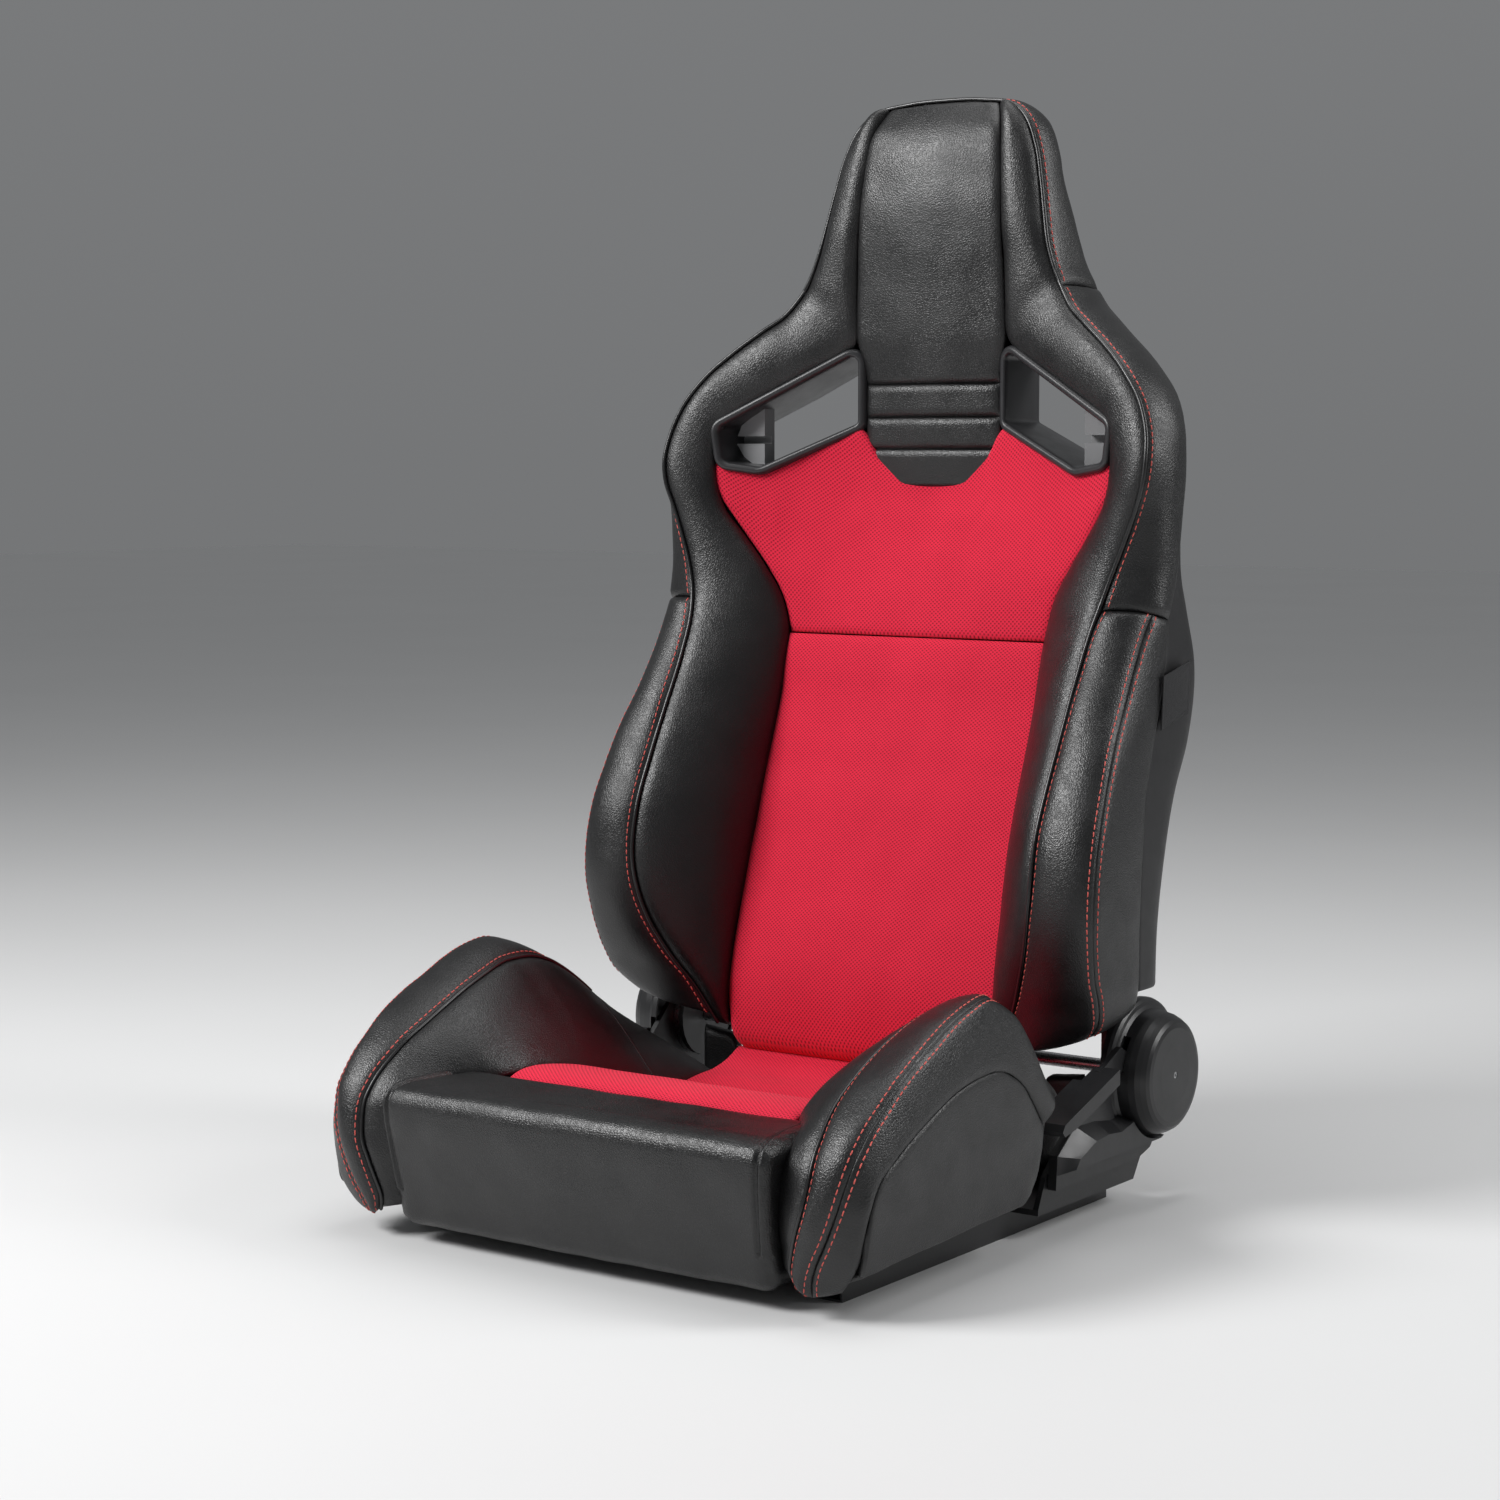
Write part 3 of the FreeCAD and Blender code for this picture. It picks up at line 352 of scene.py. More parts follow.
class Panel:
    """A sewn panel: a closed, filled form between two seams, crowned between them.

    columns: point lists (mm), one per line running along the panel, with one point per station.
    hint: rough direction the panel faces. crown: rise in the middle, one or one per station.
    depth, back: how far the surface stands above and below the lines. roll, end_roll: how far from
    a seam the surface takes to rise. ends: whether each end dives into a seam. channels: (station,
    depth) of each sewn channel across the panel. pucker, uneven: fine and broad unevenness.
    """

    CROWN_POWER = 2.2
    CHANNEL_HALF = 8.0
    PUCKER_REACH = 7.5
    BROAD_WAVE, PUCKER_WAVE, FINE_WAVE = 83.0, 13.0, 7.7

    def __init__(self, name, columns, hint, body, material=VINYL, slot="vinyl", crown=0.0,
                 depth=4.0, roll=9.0, back=12.0, ends=(True, True), end_roll=9.0,
                 channels=(), spacing=4.0, pucker=0.35, uneven=0.35):
        self.lay_grid(np.array(columns, float), ends, channels, spacing)
        self.aim_normals(np.array(hint, float))
        edge = np.minimum(self.v, self.width[:, None] - self.v)
        dive = rolled(edge, np.minimum(roll, 0.45 * self.width)[:, None])
        end_gap = np.full(len(self.u), GRID_FAR)
        if ends[0]:
            end_gap = np.minimum(end_gap, self.u)
        if ends[1]:
            end_gap = np.minimum(end_gap, self.u[-1] - self.u)
        dive_end = rolled(end_gap, end_roll)[:, None]
        lift = (depth * dive + self.rise(crown)) * dive_end
        for place, drop in self.channel_at:
            lift = lift - drop * (1 - rolled(np.abs(self.u - place), self.CHANNEL_HALF))[:, None] * dive
        x, y, z = self.base[..., 0], self.base[..., 1], self.base[..., 2]
        lift = lift + uneven * wobble(x, y, z, self.BROAD_WAVE) * dive * dive_end
        seam_gap = np.minimum(edge, end_gap[:, None])
        pull = np.exp(-(seam_gap / self.PUCKER_REACH) ** 2) * dive * dive_end
        lift = lift - pucker * pull * (0.6 + 0.4 * wobble(x, y, z, self.PUCKER_WAVE)
                                       + 0.35 * wobble(z, x, y, self.FINE_WAVE))
        self.top = self.base + self.normal * lift[..., None]
        under = self.base - self.normal * (back * dive * dive_end)[..., None]
        verts, faces = self.skin(under, ends)
        self.object = make_object(name, verts, faces, material, body)

    def lay_grid(self, cols, ends, channels, spacing):
        """Grid of points on the lines' surface, close together beside seams and channels."""
        t = np.concatenate([[0.0], np.cumsum(np.maximum(
            np.linalg.norm(np.diff(cols, axis=1), axis=2).mean(axis=0), 1e-3))])
        length = t[-1]
        self.t = t
        self.channel_at = [(float(np.interp(station, np.arange(len(t)), t)), drop)
                           for station, drop in channels]
        marks = ([0.0] if ends[0] else []) + ([length] if ends[1] else [])
        u = spread(length, spacing, marks + [place for place, _ in self.channel_at])
        lines = np.stack([through(c, t, u) for c in cols], axis=1)
        gaps = np.linalg.norm(np.diff(lines, axis=1), axis=2)
        reach = np.concatenate([np.zeros((len(u), 1)), np.cumsum(gaps, axis=1)], axis=1)
        width = reach[:, -1]
        inner = max(3, int(np.percentile(width, 80) / spacing))
        near = EDGE_STEPS[None, :] * np.minimum(1.0, 0.38 * width / EDGE_STEPS[-1])[:, None]
        ramp = np.linspace(0, 1, inner + 2)[1:-1][None, :]
        start, stop = near[:, -1:], width[:, None] - near[:, -1:]
        v = np.concatenate([near, start + (stop - start) * ramp,
                            (width[:, None] - near)[:, ::-1]], axis=1)
        if len(cols) == 2:
            f = (v / width[:, None])[:, :, None]
            base = lines[:, :1] * (1 - f) + lines[:, 1:] * f
        else:
            share = reach.mean(axis=0) / reach.mean(axis=0)[-1]
            base = np.stack([through(line, share, place / wide)
                             for line, place, wide in zip(lines, v, width)])
        self.u, self.v, self.width, self.base = u, v, width, base

    def aim_normals(self, hint):
        """Smoothed surface normals on the side of the hint."""
        du = np.gradient(self.base, self.u, axis=0)
        dv = np.empty_like(self.base)
        dv[:, 1:-1] = self.base[:, 2:] - self.base[:, :-2]
        dv[:, 0], dv[:, -1] = self.base[:, 1] - self.base[:, 0], self.base[:, -1] - self.base[:, -2]
        normal = unit(np.cross(du, dv))
        middle = normal[len(self.u) // 2, normal.shape[1] // 2]
        self.flipped = float(middle @ hint) < 0
        if self.flipped:
            normal = -normal
        for _ in range(3):
            normal[1:-1] = unit(normal[:-2] + 2 * normal[1:-1] + normal[2:])
        self.normal = normal

    def rise(self, crown):
        """Height of the crown over the grid."""
        if np.ndim(crown):
            peak = through(np.array(crown, float)[:, None], self.t, self.u)[:, :1]
        else:
            peak = np.full((len(self.u), 1), float(crown))
        across = np.clip(self.v / self.width[:, None], 0, 1)
        return peak * (1 - np.abs(2 * across - 1) ** self.CROWN_POWER)

    def skin(self, under, ends):
        """Points and faces of the closed form: top and underside share the seams."""
        rows, count = self.v.shape
        index = np.arange(rows * count).reshape(rows, count)
        shared = np.zeros((rows, count), bool)
        shared[:, 0] = shared[:, -1] = True
        shared[0, :] |= ends[0]
        shared[-1, :] |= ends[1]
        below = index.copy()
        below[~shared] = rows * count + np.arange((~shared).sum())
        faces = []

        def quad(*corners):
            ring = []
            for k in corners:
                if k not in ring:
                    ring.append(int(k))
            if len(ring) > 2:
                faces.append(ring[::-1] if self.flipped else ring)

        for i in range(rows - 1):
            for j in range(count - 1):
                quad(index[i, j], index[i + 1, j], index[i + 1, j + 1], index[i, j + 1])
                quad(below[i, j], below[i, j + 1], below[i + 1, j + 1], below[i + 1, j])
        for j in range(count - 1):
            if not ends[0]:
                quad(index[0, j], index[0, j + 1], below[0, j + 1], below[0, j])
            if not ends[1]:
                quad(index[-1, j], below[-1, j], below[-1, j + 1], index[-1, j + 1])
        return np.concatenate([self.top.reshape(-1, 3), under[~shared]]), faces

    def inset(self, edge, distance):
        """Line on the surface that runs beside a seam: edge "a" or "b", at a distance (mm)."""
        points = []
        for top, v, width in zip(self.top, self.v, self.width):
            points.append(sample(top, v, distance if edge == "a" else width - distance))
        du, dv = np.gradient(self.top, axis=0), np.gradient(self.top, axis=1)
        normals = unit(np.cross(du, dv))[:, 2 if edge == "a" else -3]
        return np.array(points), -normals if self.flipped else normals


TUBE_SIDES = 10
TUBE_NOSE = ((0.95, 0.3), (0.6, 0.8))  # (past the end, size), in radii


def tube(name, path, radius, material, body):
    """Round tube along a dense path of points (mm), with rounded ends."""
    p = np.asarray(path, float)
    tangent = unit(np.gradient(p, axis=0))
    side = np.cross(tangent[0], [0.3, 0.2, 0.93])
    frames = []
    for direction in tangent:
        side = side - direction * (side @ direction)
        side = side / np.linalg.norm(side)
        frames.append((side, np.cross(direction, side)))
    stops = [(0, -move, scale) for move, scale in TUBE_NOSE]
    stops += [(k, 0.0, 1.0) for k in range(len(p))]
    stops += [(len(p) - 1, move, scale) for move, scale in TUBE_NOSE[::-1]]
    turn = np.linspace(0, 2 * math.pi, TUBE_SIDES, endpoint=False)[:, None]
    points = []
    for k, move, scale in stops:
        a, b = frames[k]
        points.append(p[k] + tangent[k] * move * radius
                      + radius * scale * (np.cos(turn) * a + np.sin(turn) * b))
    faces = ring_faces(len(points), TUBE_SIDES, turned=True)
    faces.append(list(range(TUBE_SIDES))[::-1])
    faces.append([(len(points) - 1) * TUBE_SIDES + j for j in range(TUBE_SIDES)])
    return make_object(name, np.concatenate(points), faces, material, body)


# Sections of one stitch: (place along it, size, height), in half lengths, thicknesses, thicknesses.
STITCH_RINGS = ((-1.0, 0.25, -0.55), (-0.86, 0.8, -0.2), (-0.45, 1.0, 0.12), (0.0, 1.0, 0.2),
                (0.45, 1.0, 0.12), (0.86, 0.8, -0.2), (1.0, 0.25, -0.55))
STITCH_LENGTH, STITCH_GAP, STITCH_THICK, STITCH_SIDES = 4.6, 1.7, 0.52, 6


def one_stitch(here, up, along, length, thick):
    """Points of a stitch lying along a direction on a surface."""
    side = np.cross(up, along)
    side = side / np.linalg.norm(side)
    up = np.cross(along, side)
    along = along + side * RNG.uniform(-0.05, 0.05)
    points = []
    for place, scale, height in STITCH_RINGS:
        centre = here + along * place * length / 2 + up * (height * thick + 0.12)
        for angle in np.linspace(0, 2 * math.pi, STITCH_SIDES, endpoint=False):
            points.append(centre + thick * scale * (math.cos(angle) * side * 1.1
                                                    + math.sin(angle) * up * 0.8))
    return points


def sew(name, lines, body):
    """Single stitches along lines of (points, normals)."""
    verts, faces = [], []
    pitch = STITCH_LENGTH + STITCH_GAP
    for points, normals in lines:
        t = chord_params(points)
        count = int((t[-1] - STITCH_GAP) / pitch)
        offset = (t[-1] - count * pitch + STITCH_GAP) / 2
        for k in range(count):
            middle = offset + k * pitch + STITCH_LENGTH / 2 + RNG.uniform(-0.12, 0.12)
            along = sample(points, t, middle + 1.5) - sample(points, t, middle - 1.5)
            first = len(verts)
            verts += one_stitch(sample(points, t, middle), sample(normals, t, middle),
                                along / np.linalg.norm(along), STITCH_LENGTH, STITCH_THICK)
            faces += ring_faces(len(STITCH_RINGS), STITCH_SIDES, first, turned=True)
            faces.append([first + j for j in range(STITCH_SIDES)][::-1])
            faces.append([len(verts) - STITCH_SIDES + j for j in range(STITCH_SIDES)])
    return make_object(name, np.array(verts), faces, THREAD, body)


def ahead(line, limit):
    """The part of a stitch line in front of a depth (mm)."""
    points, normals = line
    kept = points[:, 1] < limit
    return points[kept], normals[kept]


def welt(panels, proud=2.3):
    """Piping in the valley between two panels: [(panel, "a" or "b"), ...], first one leads."""
    (line, out), *others = [(panel.base[:, k], panel.normal[:, k])
                            for panel, k in ((p, 0 if edge == "a" else -1) for p, edge in panels)]
    for theirs, normals in others:
        nearest = np.argmin(np.linalg.norm(line[:, None] - theirs[None], axis=2), axis=1)
        out = out + normals[nearest]
    return line + unit(out) * proud


def ring_form(name, rings, material, body):
    """Closed form through a row of closed cross-sections (rings x points x 3, mm)."""
    grid = np.asarray(rings, float)
    rows, count = grid.shape[:2]
    verts = [grid.reshape(-1, 3)]
    faces = ring_faces(rows, count)
    total = rows * count
    for row, reverse in ((0, False), (rows - 1, True)):
        centre = grid[row].mean(axis=0)
        previous = [row * count + j for j in range(count)]
        for scale in (0.8, 0.5, 0.2):
            verts.append(centre + (grid[row] - centre) * scale)
            current = [total + j for j in range(count)]
            total += count
            for j in range(count):
                m = (j + 1) % count
                face = [previous[j], previous[m], current[m], current[j]]
                faces.append(face[::-1] if reverse else face)
            previous = current
        faces.append(previous[::-1] if reverse else previous)
    return make_object(name, np.concatenate(verts), faces, material, body)


def outward(made):
    """Turns a closed mesh's faces outward."""
    work = bmesh.new()
    work.from_mesh(made.data)
    bmesh.ops.recalc_face_normals(work, faces=work.faces)
    work.to_mesh(made.data)
    work.free()
    made.data.shade_smooth()


# ---------------- backrest facings
FACE_INNER = [
    (148, 178, 122), (146, 171, 157), (146, 177, 195), (146, 187, 230), (145, 202, 279),
    (144, 216, 325), (143, 231, 372), (141, 243, 415), (139, 254, 465), (140, 258, 490),
    (147, 257, 517), (163, 253, 545), (183, 248, 573), (202, 241, 600), (209, 238.5, 622),
    (210.5, 238.5, 640), (209, 239.5, 660), (201, 243.5, 677), (178, 252.5, 692.5), (148, 263, 709),
    (116, 274, 726.5), (90, 282.5, 741), (79, 283, 756), (79, 280, 790), (78, 279, 820),
    (76, 277, 850), (73, 280, 890), (70, 284, 920), (68, 288, 940), (64, 294, 956),
    (59, 301, 961)]
FACE_PIPING = [
    (155, 166, 126), (168, 151, 160), (185, 133, 192), (200, 118, 228), (210, 109, 278),
    (211, 116, 325), (211, 137, 372), (211, 160, 415), (211, 187, 465), (213, 203, 497),
    (218, 213, 523), (226, 218, 550), (235, 220, 575), (245, 220, 603), (252, 218, 625),
    (254, 219, 644), (251, 225, 668), (242, 231, 692), (222, 239, 719), (197, 250, 742),
    (172, 260, 761), (150, 271, 778), (136, 278, 797), (127, 280, 815), (120, 282, 835),
    (114, 286, 861), (107, 291, 893), (100, 295, 920), (88, 299, 945), (73, 303, 958),
    (58, 305, 963)]
FACE_CROWN = [2, 8, 11, 13, 14, 14, 13, 12, 10, 9, 9, 8, 7, 6, 5, 4, 4, 4, 5, 6, 7, 7, 6, 6, 6, 6,
              5, 4, 3, 2, 0]
BAND = [((158, 162.5, 134), (243, 154, 158)), ((164, 155, 150), (257, 142, 173)),
        ((174, 144, 174), (263, 131, 194)), ((185, 133, 192), (264, 124, 209)),
        ((200, 118, 228), (266, 117, 232)), ((208, 110, 262), (268, 112, 262)),
        ((211, 111, 295), (268, 114, 296)), ((211, 116, 325), (267, 120, 322)),
        ((211, 131, 360), (264, 136, 360)), ((211, 153, 402), (260, 158, 400)),
        ((211, 170, 436), (256, 182, 433)), ((211, 187, 465), (254, 203, 466)),
        ((213, 203, 497), (254, 222, 497)), ((217, 212, 516), (255, 233, 513))]
SIDE = [((243, 154, 158), (247, 200, 172)), ((257, 142, 173), (259, 201, 181)),
        ((263, 131, 194), (262, 201.5, 197)), ((264, 124, 209), (262.5, 201.5, 212)),
        ((266, 117, 232), (262.5, 201.5, 230)), ((268, 112, 262), (262.5, 202, 262)),
        ((268, 114, 296), (262.5, 203.5, 296)), ((267, 120, 322), (262, 207, 320)),
        ((264, 136, 360), (260.5, 213, 360)), ((260, 158, 400), (259, 228.5, 400)),
        ((256, 182, 433), (258.5, 240, 432)), ((254, 203, 466), (258, 250, 466)),
        ((254, 222, 497), (257, 256, 497)), ((255, 233, 513), (257, 257.5, 507))]
GUSSET = [((217, 212, 516), (255, 233, 513), (257, 257.5, 507)),
          ((226, 218, 550), (254, 238, 550), (262, 264, 550)),
          ((235, 220, 575), (257, 241, 578), (262, 269, 580)),
          ((245, 220, 603), (259, 243, 606), (262, 273, 608)),
          ((252, 218, 625), (261, 246, 627), (262, 276, 628)),
          ((254, 219, 644), (261, 249, 645), (261, 278, 646)),
          ((251, 225, 668), (259, 254, 669), (257, 282, 670)),
          ((242, 231, 692), (249, 260, 694), (247, 289, 696)),
          ((222, 239, 719), (229, 269, 720), (226, 299, 721)),
          ((197, 250, 742), (203, 280, 743), (200, 307, 744)),
          ((172, 260, 761), (177, 291, 762), (173, 321, 764)),
          ((150, 271, 778), (155, 303, 779), (152, 334, 780)),
          ((136, 278, 797), (141, 308, 796), (140, 338, 795))]
HEAD_SIDE = [((136, 278, 797), (140, 338, 795)), ((127, 280, 815), (129, 337, 815)),
             ((120, 282, 835), (122, 335, 838)), ((114, 286, 861), (117, 332, 861)),
             ((107, 291, 893), (109, 328, 893)), ((100, 295, 920), (103, 329, 920)),
             ((88, 299, 945), (92, 331, 943)), ((73, 303, 958), (76, 333, 954)),
             ((40, 304, 964.5), (42, 334, 960)), ((0, 304, 966), (0, 335, 962))]


def closing(name, columns, hint, body, roll=8, **form):
    """A plain cover over a part of the underside or rear that is hardly seen."""
    made = Panel(name, columns, hint, body, roll=roll, back=8, **form)


face, band, side_panel, gusset = {}, {}, {}, {}
for side, sign in SIDES:
    face[side] = Panel("backrest_facing_" + side, [flip(FACE_INNER, sign), flip(FACE_PIPING, sign)],
                       (0, -1, 0.1), "backrest", crown=FACE_CROWN, depth=4.5, roll=11, back=14,
                       spacing=4.2, end_roll=8)
    band[side] = Panel("bolster_nose_" + side, columns_of(BAND, sign), (0.2 * sign, -1, 0),
                       "backrest", crown=8, depth=3.2, roll=8)
    side_panel[side] = Panel("bolster_side_" + side, columns_of(SIDE, sign), (sign, 0, 0),
                             "backrest", crown=2.5, depth=2.6, roll=8, back=10)
    gusset[side] = Panel("shoulder_side_" + side, columns_of(GUSSET, sign), (sign, 0, 0.3),
                         "backrest", crown=2.0, depth=3.2, roll=8, back=10)
    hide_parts("backrest_bolster_" + side, "shoulder_wing_" + side)

head_band = Panel("head_side_band", [mirrored(list(line)) for line in zip(*HEAD_SIDE)], (0, 0, 1),
                  "backrest", crown=3.0, depth=3.2, roll=8, back=9)

# ---------------- head pad and neck channels
PAD_EDGE = [(57, 303, 963), (62, 298, 954), (68, 288, 938), (71, 283, 917), (73, 281, 899),
            (75, 278, 872), (76, 277, 845), (78, 279, 809), (79, 280, 772), (79, 281, 752),
            (75, 284, 737), (71.5, 286, 713), (71.5, 286, 700), (71.5, 286, 683), (72, 287, 668),
            (73, 288, 654), (72.5, 290, 641), (70, 291.5, 631), (66, 290.5, 624), (59, 289.5, 619.5)]
PAD_CENTRE = [(0, 302, 965), (0, 294, 954), (0, 284, 938), (0, 277, 917), (0, 274, 899),
              (0, 271, 872), (0, 271, 845), (0, 272, 809), (0, 273, 772), (0, 274, 752),
              (0, 275, 737), (0, 277, 713), (0, 278, 700), (0, 279, 683), (0, 280, 668),
              (0, 282, 654), (0, 284, 641), (0, 286, 631), (0, 288, 623.5), (0, 289, 619.5)]
head_pad = Panel("head_and_neck_pad", [PAD_EDGE, PAD_CENTRE, flip(PAD_EDGE, -1)], (0, -1, 0),
                 "backrest", roll=10, back=18,
                 channels=((11, 5.5), (13, 5.5), (15, 5.0)))
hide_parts("headrest_pad", "neck_pad")

# ---------------- red backrest inserts
RED_EDGE = [(139, 258, 484), (141, 257.5, 495), (145, 257, 511), (151, 256, 525), (159, 254, 539),
            (170, 252, 555), (182, 249, 571), (195, 244, 590), (206, 239, 608), (211, 237.5, 620),
            (213, 237, 632), (213, 237, 640)]
RED_CENTRE_YS = [256, 258, 261, 264, 268, 272, 277, 281, 286, 288, 289, 290]
# Top seam of the insert: (share of the half width, height).
TOP_LINE = [(1.0, 641), (0.94, 639.5), (0.88, 637.5), (0.78, 634.5), (0.63, 648.5), (0.52, 659),
            (0.43, 667.5), (0.365, 673.5), (0.335, 668), (0.28, 650), (0.14, 642), (0.0, 641)]


def upper_insert_columns():
    """Vertical lines of the upper red insert, from one edge to the other."""
    edge_x, edge_y, heights = np.array(RED_EDGE, float).T
    climb = (heights - heights[0]) / (heights[-1] - heights[0])
    columns = []
    for share, top in TOP_LINE + [(-share, top) for share, top in TOP_LINE[-2::-1]]:
        bend = abs(share) ** 1.7
        z = heights[0] + climb * (top - heights[0])
        y = np.interp(z, heights, RED_CENTRE_YS) * (1 - bend) + edge_y * bend + 3.0
        columns.append(np.stack([share * edge_x, y, z], axis=1))
    return columns


insert_upper = Panel("backrest_insert_top", upper_insert_columns(), (0, -1, 0), "backrest", RED,
                     "red_fabric", back=14, spacing=4.2, end_roll=8, pucker=0.25)
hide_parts("backrest_insert_upper")

LOWER_EDGE = [(139, 258, 483), (139, 255, 472), (140, 251, 453), (140, 247, 430), (141, 241, 407),
              (142, 234, 384), (144, 229, 365), (144, 220, 338), (144, 212, 311), (145, 202, 279),
              (145, 195, 256), (145, 188, 234), (145, 181, 211), (145, 174, 184), (145, 170, 157),
              (144, 170, 135), (143, 173, 117), (141, 182, 106), (140, 196, 102), (139, 214, 103)]
LOWER_RISE = [0, -1, -3, -4, -5, -6, -7, -8, -8.5, -9, -9, -9, -8, -7, -5, -3, -1, 0, 0, 0]
lower_centre = [(0, y + 0.8 * rise, z) for (_, y, z), rise in zip(LOWER_EDGE, LOWER_RISE)]
insert_lower = Panel("backrest_insert_main", [LOWER_EDGE, lower_centre, flip(LOWER_EDGE, -1)],
                     (0, -1, 0), "backrest", RED, "red_fabric", roll=10, back=22, spacing=4.2,
                     pucker=0.25)
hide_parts("backrest_insert_lower")

# ---------------- rear shell
# Per height: edge (x, y), corner (x, y), a point half way in (x, y), and the centre's y.
SHELL_ROWS = [
    (192, (262, 203), (259, 236), (150, 252), 256), (241, (262, 202), (259, 238), (150, 258), 263),
    (301, (262, 204), (259, 249), (150, 268), 274), (359, (260, 212), (257, 271), (150, 289), 296),
    (401, (258, 228), (257, 292), (150, 308), 314), (471, (257, 250), (258, 301), (150, 322), 328),
    (515, (256, 257), (256, 290), (150, 322), 331), (550, (260, 264), (257, 276), (150, 322), 333),
    (588, (260, 271), (256, 274), (150, 322), 334), (632, (258, 277), (252, 280), (150, 322), 335),
    (664, (255, 281), (249, 285), (150, 322), 336), (701, (239, 293), (232, 298), (140, 324), 338),
    (743, (199, 309), (193, 315), (120, 332), 341), (777, (145, 335), (139, 338), (90, 343), 345),
    (815, (127, 337), (122, 340), (80, 345), 347), (861, (116, 332), (111, 336), (75, 343), 346),
    (902, (106, 328), (101, 332), (70, 339), 342), (940, (92, 331), (87, 335), (60, 338), 340),
    (956, (74, 333), (70, 336), (48, 339), 340)]


def shell_columns():
    """Lines down the rear shell, from its left edge to its right."""
    right = []
    for z, edge, corner, half, centre in SHELL_ROWS:
        quarter = ((corner[0] * 0.45 + half[0] * 0.55), corner[1] * 0.42 + half[1] * 0.58 + 1.5)
        right.append([(edge[0], edge[1], z), (corner[0], corner[1], z), (*quarter, z),
                      (half[0], half[1], z), (half[0] * 0.5, (half[1] + centre) / 2 + 1.5, z),
                      (0, centre, z)])
    columns = [[row[k] for row in right] for k in range(6)]
    return columns + [flip(column, -1) for column in columns[-2::-1]]


shell = Panel("rear_shell_skin", shell_columns(), (0, 1, 0), "backrest", SHELL, "shell_plastic",
              depth=1.5, roll=3.0, back=2.5, spacing=6.0, end_roll=3,
              pucker=0.0, uneven=0.0)
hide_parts("rear_shell")

# ---------------- harness bezels
BEZEL_CORNERS = [(72, 754, 13), (214, 677.5, 14), (208, 636, 14), (167, 630, 22), (72, 673, 12)]
# Lip of a harness guide: (distance in from the outline, depth behind the opening plane).
BEZEL_LIP = [(0.4, 9.0), (-0.6, 3.0), (-0.8, 0.0), (-0.2, -2.8), (1.6, -4.8), (4.0, -5.2),
             (6.0, -4.2), (7.2, -1.8), (7.6, 1.6), (7.8, 6.0), (8.2, 14.0)]
# Its tunnel, there and back: (distance in, share of the way to the rear face, how far past it).
BEZEL_TUNNEL = [(8.4, 0.35, 0), (8.4, 0.7, 0), (8.4, 1.0, 0), (8.0, 1.0, 1.2), (5.6, 1.0, 1.2),
                (5.2, 0.97, 0), (5.2, 0.5, 0), (5.2, 0.2, 0)]
OPENING_SLOPE, CUTTER_INSET = 0.355, 6.4


def opening_plane(x):
    """Depth of the plane the harness guides lie in."""
    return 286 - OPENING_SLOPE * (np.abs(x) - 72)


def filleted(corners, count):
    """Closed outline with straight sides and round corners, cut into equal steps."""
    points = []
    for k, (x, z, radius) in enumerate(corners):
        corner = np.array([x, z], float)
        before = unit(np.array(corners[k - 1][:2], float) - corner)
        after = unit(np.array(corners[(k + 1) % len(corners)][:2], float) - corner)
        half = math.acos(float(before @ after)) / 2
        start, stop = corner + before * radius / math.tan(half), corner + after * radius / math.tan(half)
        centre = corner + unit(before + after) * radius / math.sin(half)
        for share in np.linspace(0, 1, 13):
            spoke = unit((start - centre) * (1 - share) + (stop - centre) * share)
            points.append(centre + spoke * radius)
    ring = np.array(points + points[:1])
    t = chord_params(ring)
    return sample(ring, t, np.linspace(0, t[-1], count, endpoint=False))


def rear_face(x):
    """Depth of the rear shell behind the harness guides."""
    return np.interp(np.abs(x), [60, 150, 225], [342, 324, 296])


def bezel(side, sign):
    """Harness guide: a rounded lip and a tunnel through the backrest. Returns its outline."""
    loop = filleted(BEZEL_CORNERS, 180)
    tangent = unit(np.roll(loop, -1, axis=0) - np.roll(loop, 1, axis=0))
    inward = np.stack([tangent[:, 1], -tangent[:, 0]], axis=1)
    if ((loop.mean(axis=0) - loop) * inward).sum() < 0:
        inward = -inward
    rings = []
    for place, across in zip(loop, inward):
        ring = []
        for reach, deep in BEZEL_LIP:
            x, z = place + across * reach
            ring.append((x * sign, opening_plane(x) + deep, z))
        front_y = ring[-1][1]
        for reach, share, proud in BEZEL_TUNNEL:
            x, z = place + across * reach
            ring.append((x * sign, front_y + (rear_face(x) + proud - front_y) * share, z))
        x, z = place + across * 4.4
        ring.append((x * sign, opening_plane(x) + 8.0, z))
        rings.append(ring)
    grid = np.array(rings)
    faces = ring_faces(*grid.shape[:2], wrap=True)
    made = make_object("harness_guide_" + side, grid.reshape(-1, 3), faces, BEZEL, "backrest")
    outward(made)
    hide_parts("harness_bezel_" + side)
    return loop, inward


def cutter(loop, inward, reach, sign):
    """Solid prism through the whole backrest, inside the rim by `reach`."""
    ring = loop + inward * reach
    count = len(ring)
    verts = [(x * sign, y, z) for y in (200.0, 400.0) for x, z in ring]
    faces = [list(range(count)), list(range(2 * count - 1, count - 1, -1))]
    for j in range(count):
        m = (j + 1) % count
        faces.append([j, count + j, count + m, m])
    made = make_object("cutter", verts, faces, SHELL, "backrest")
    outward(made)
    return made


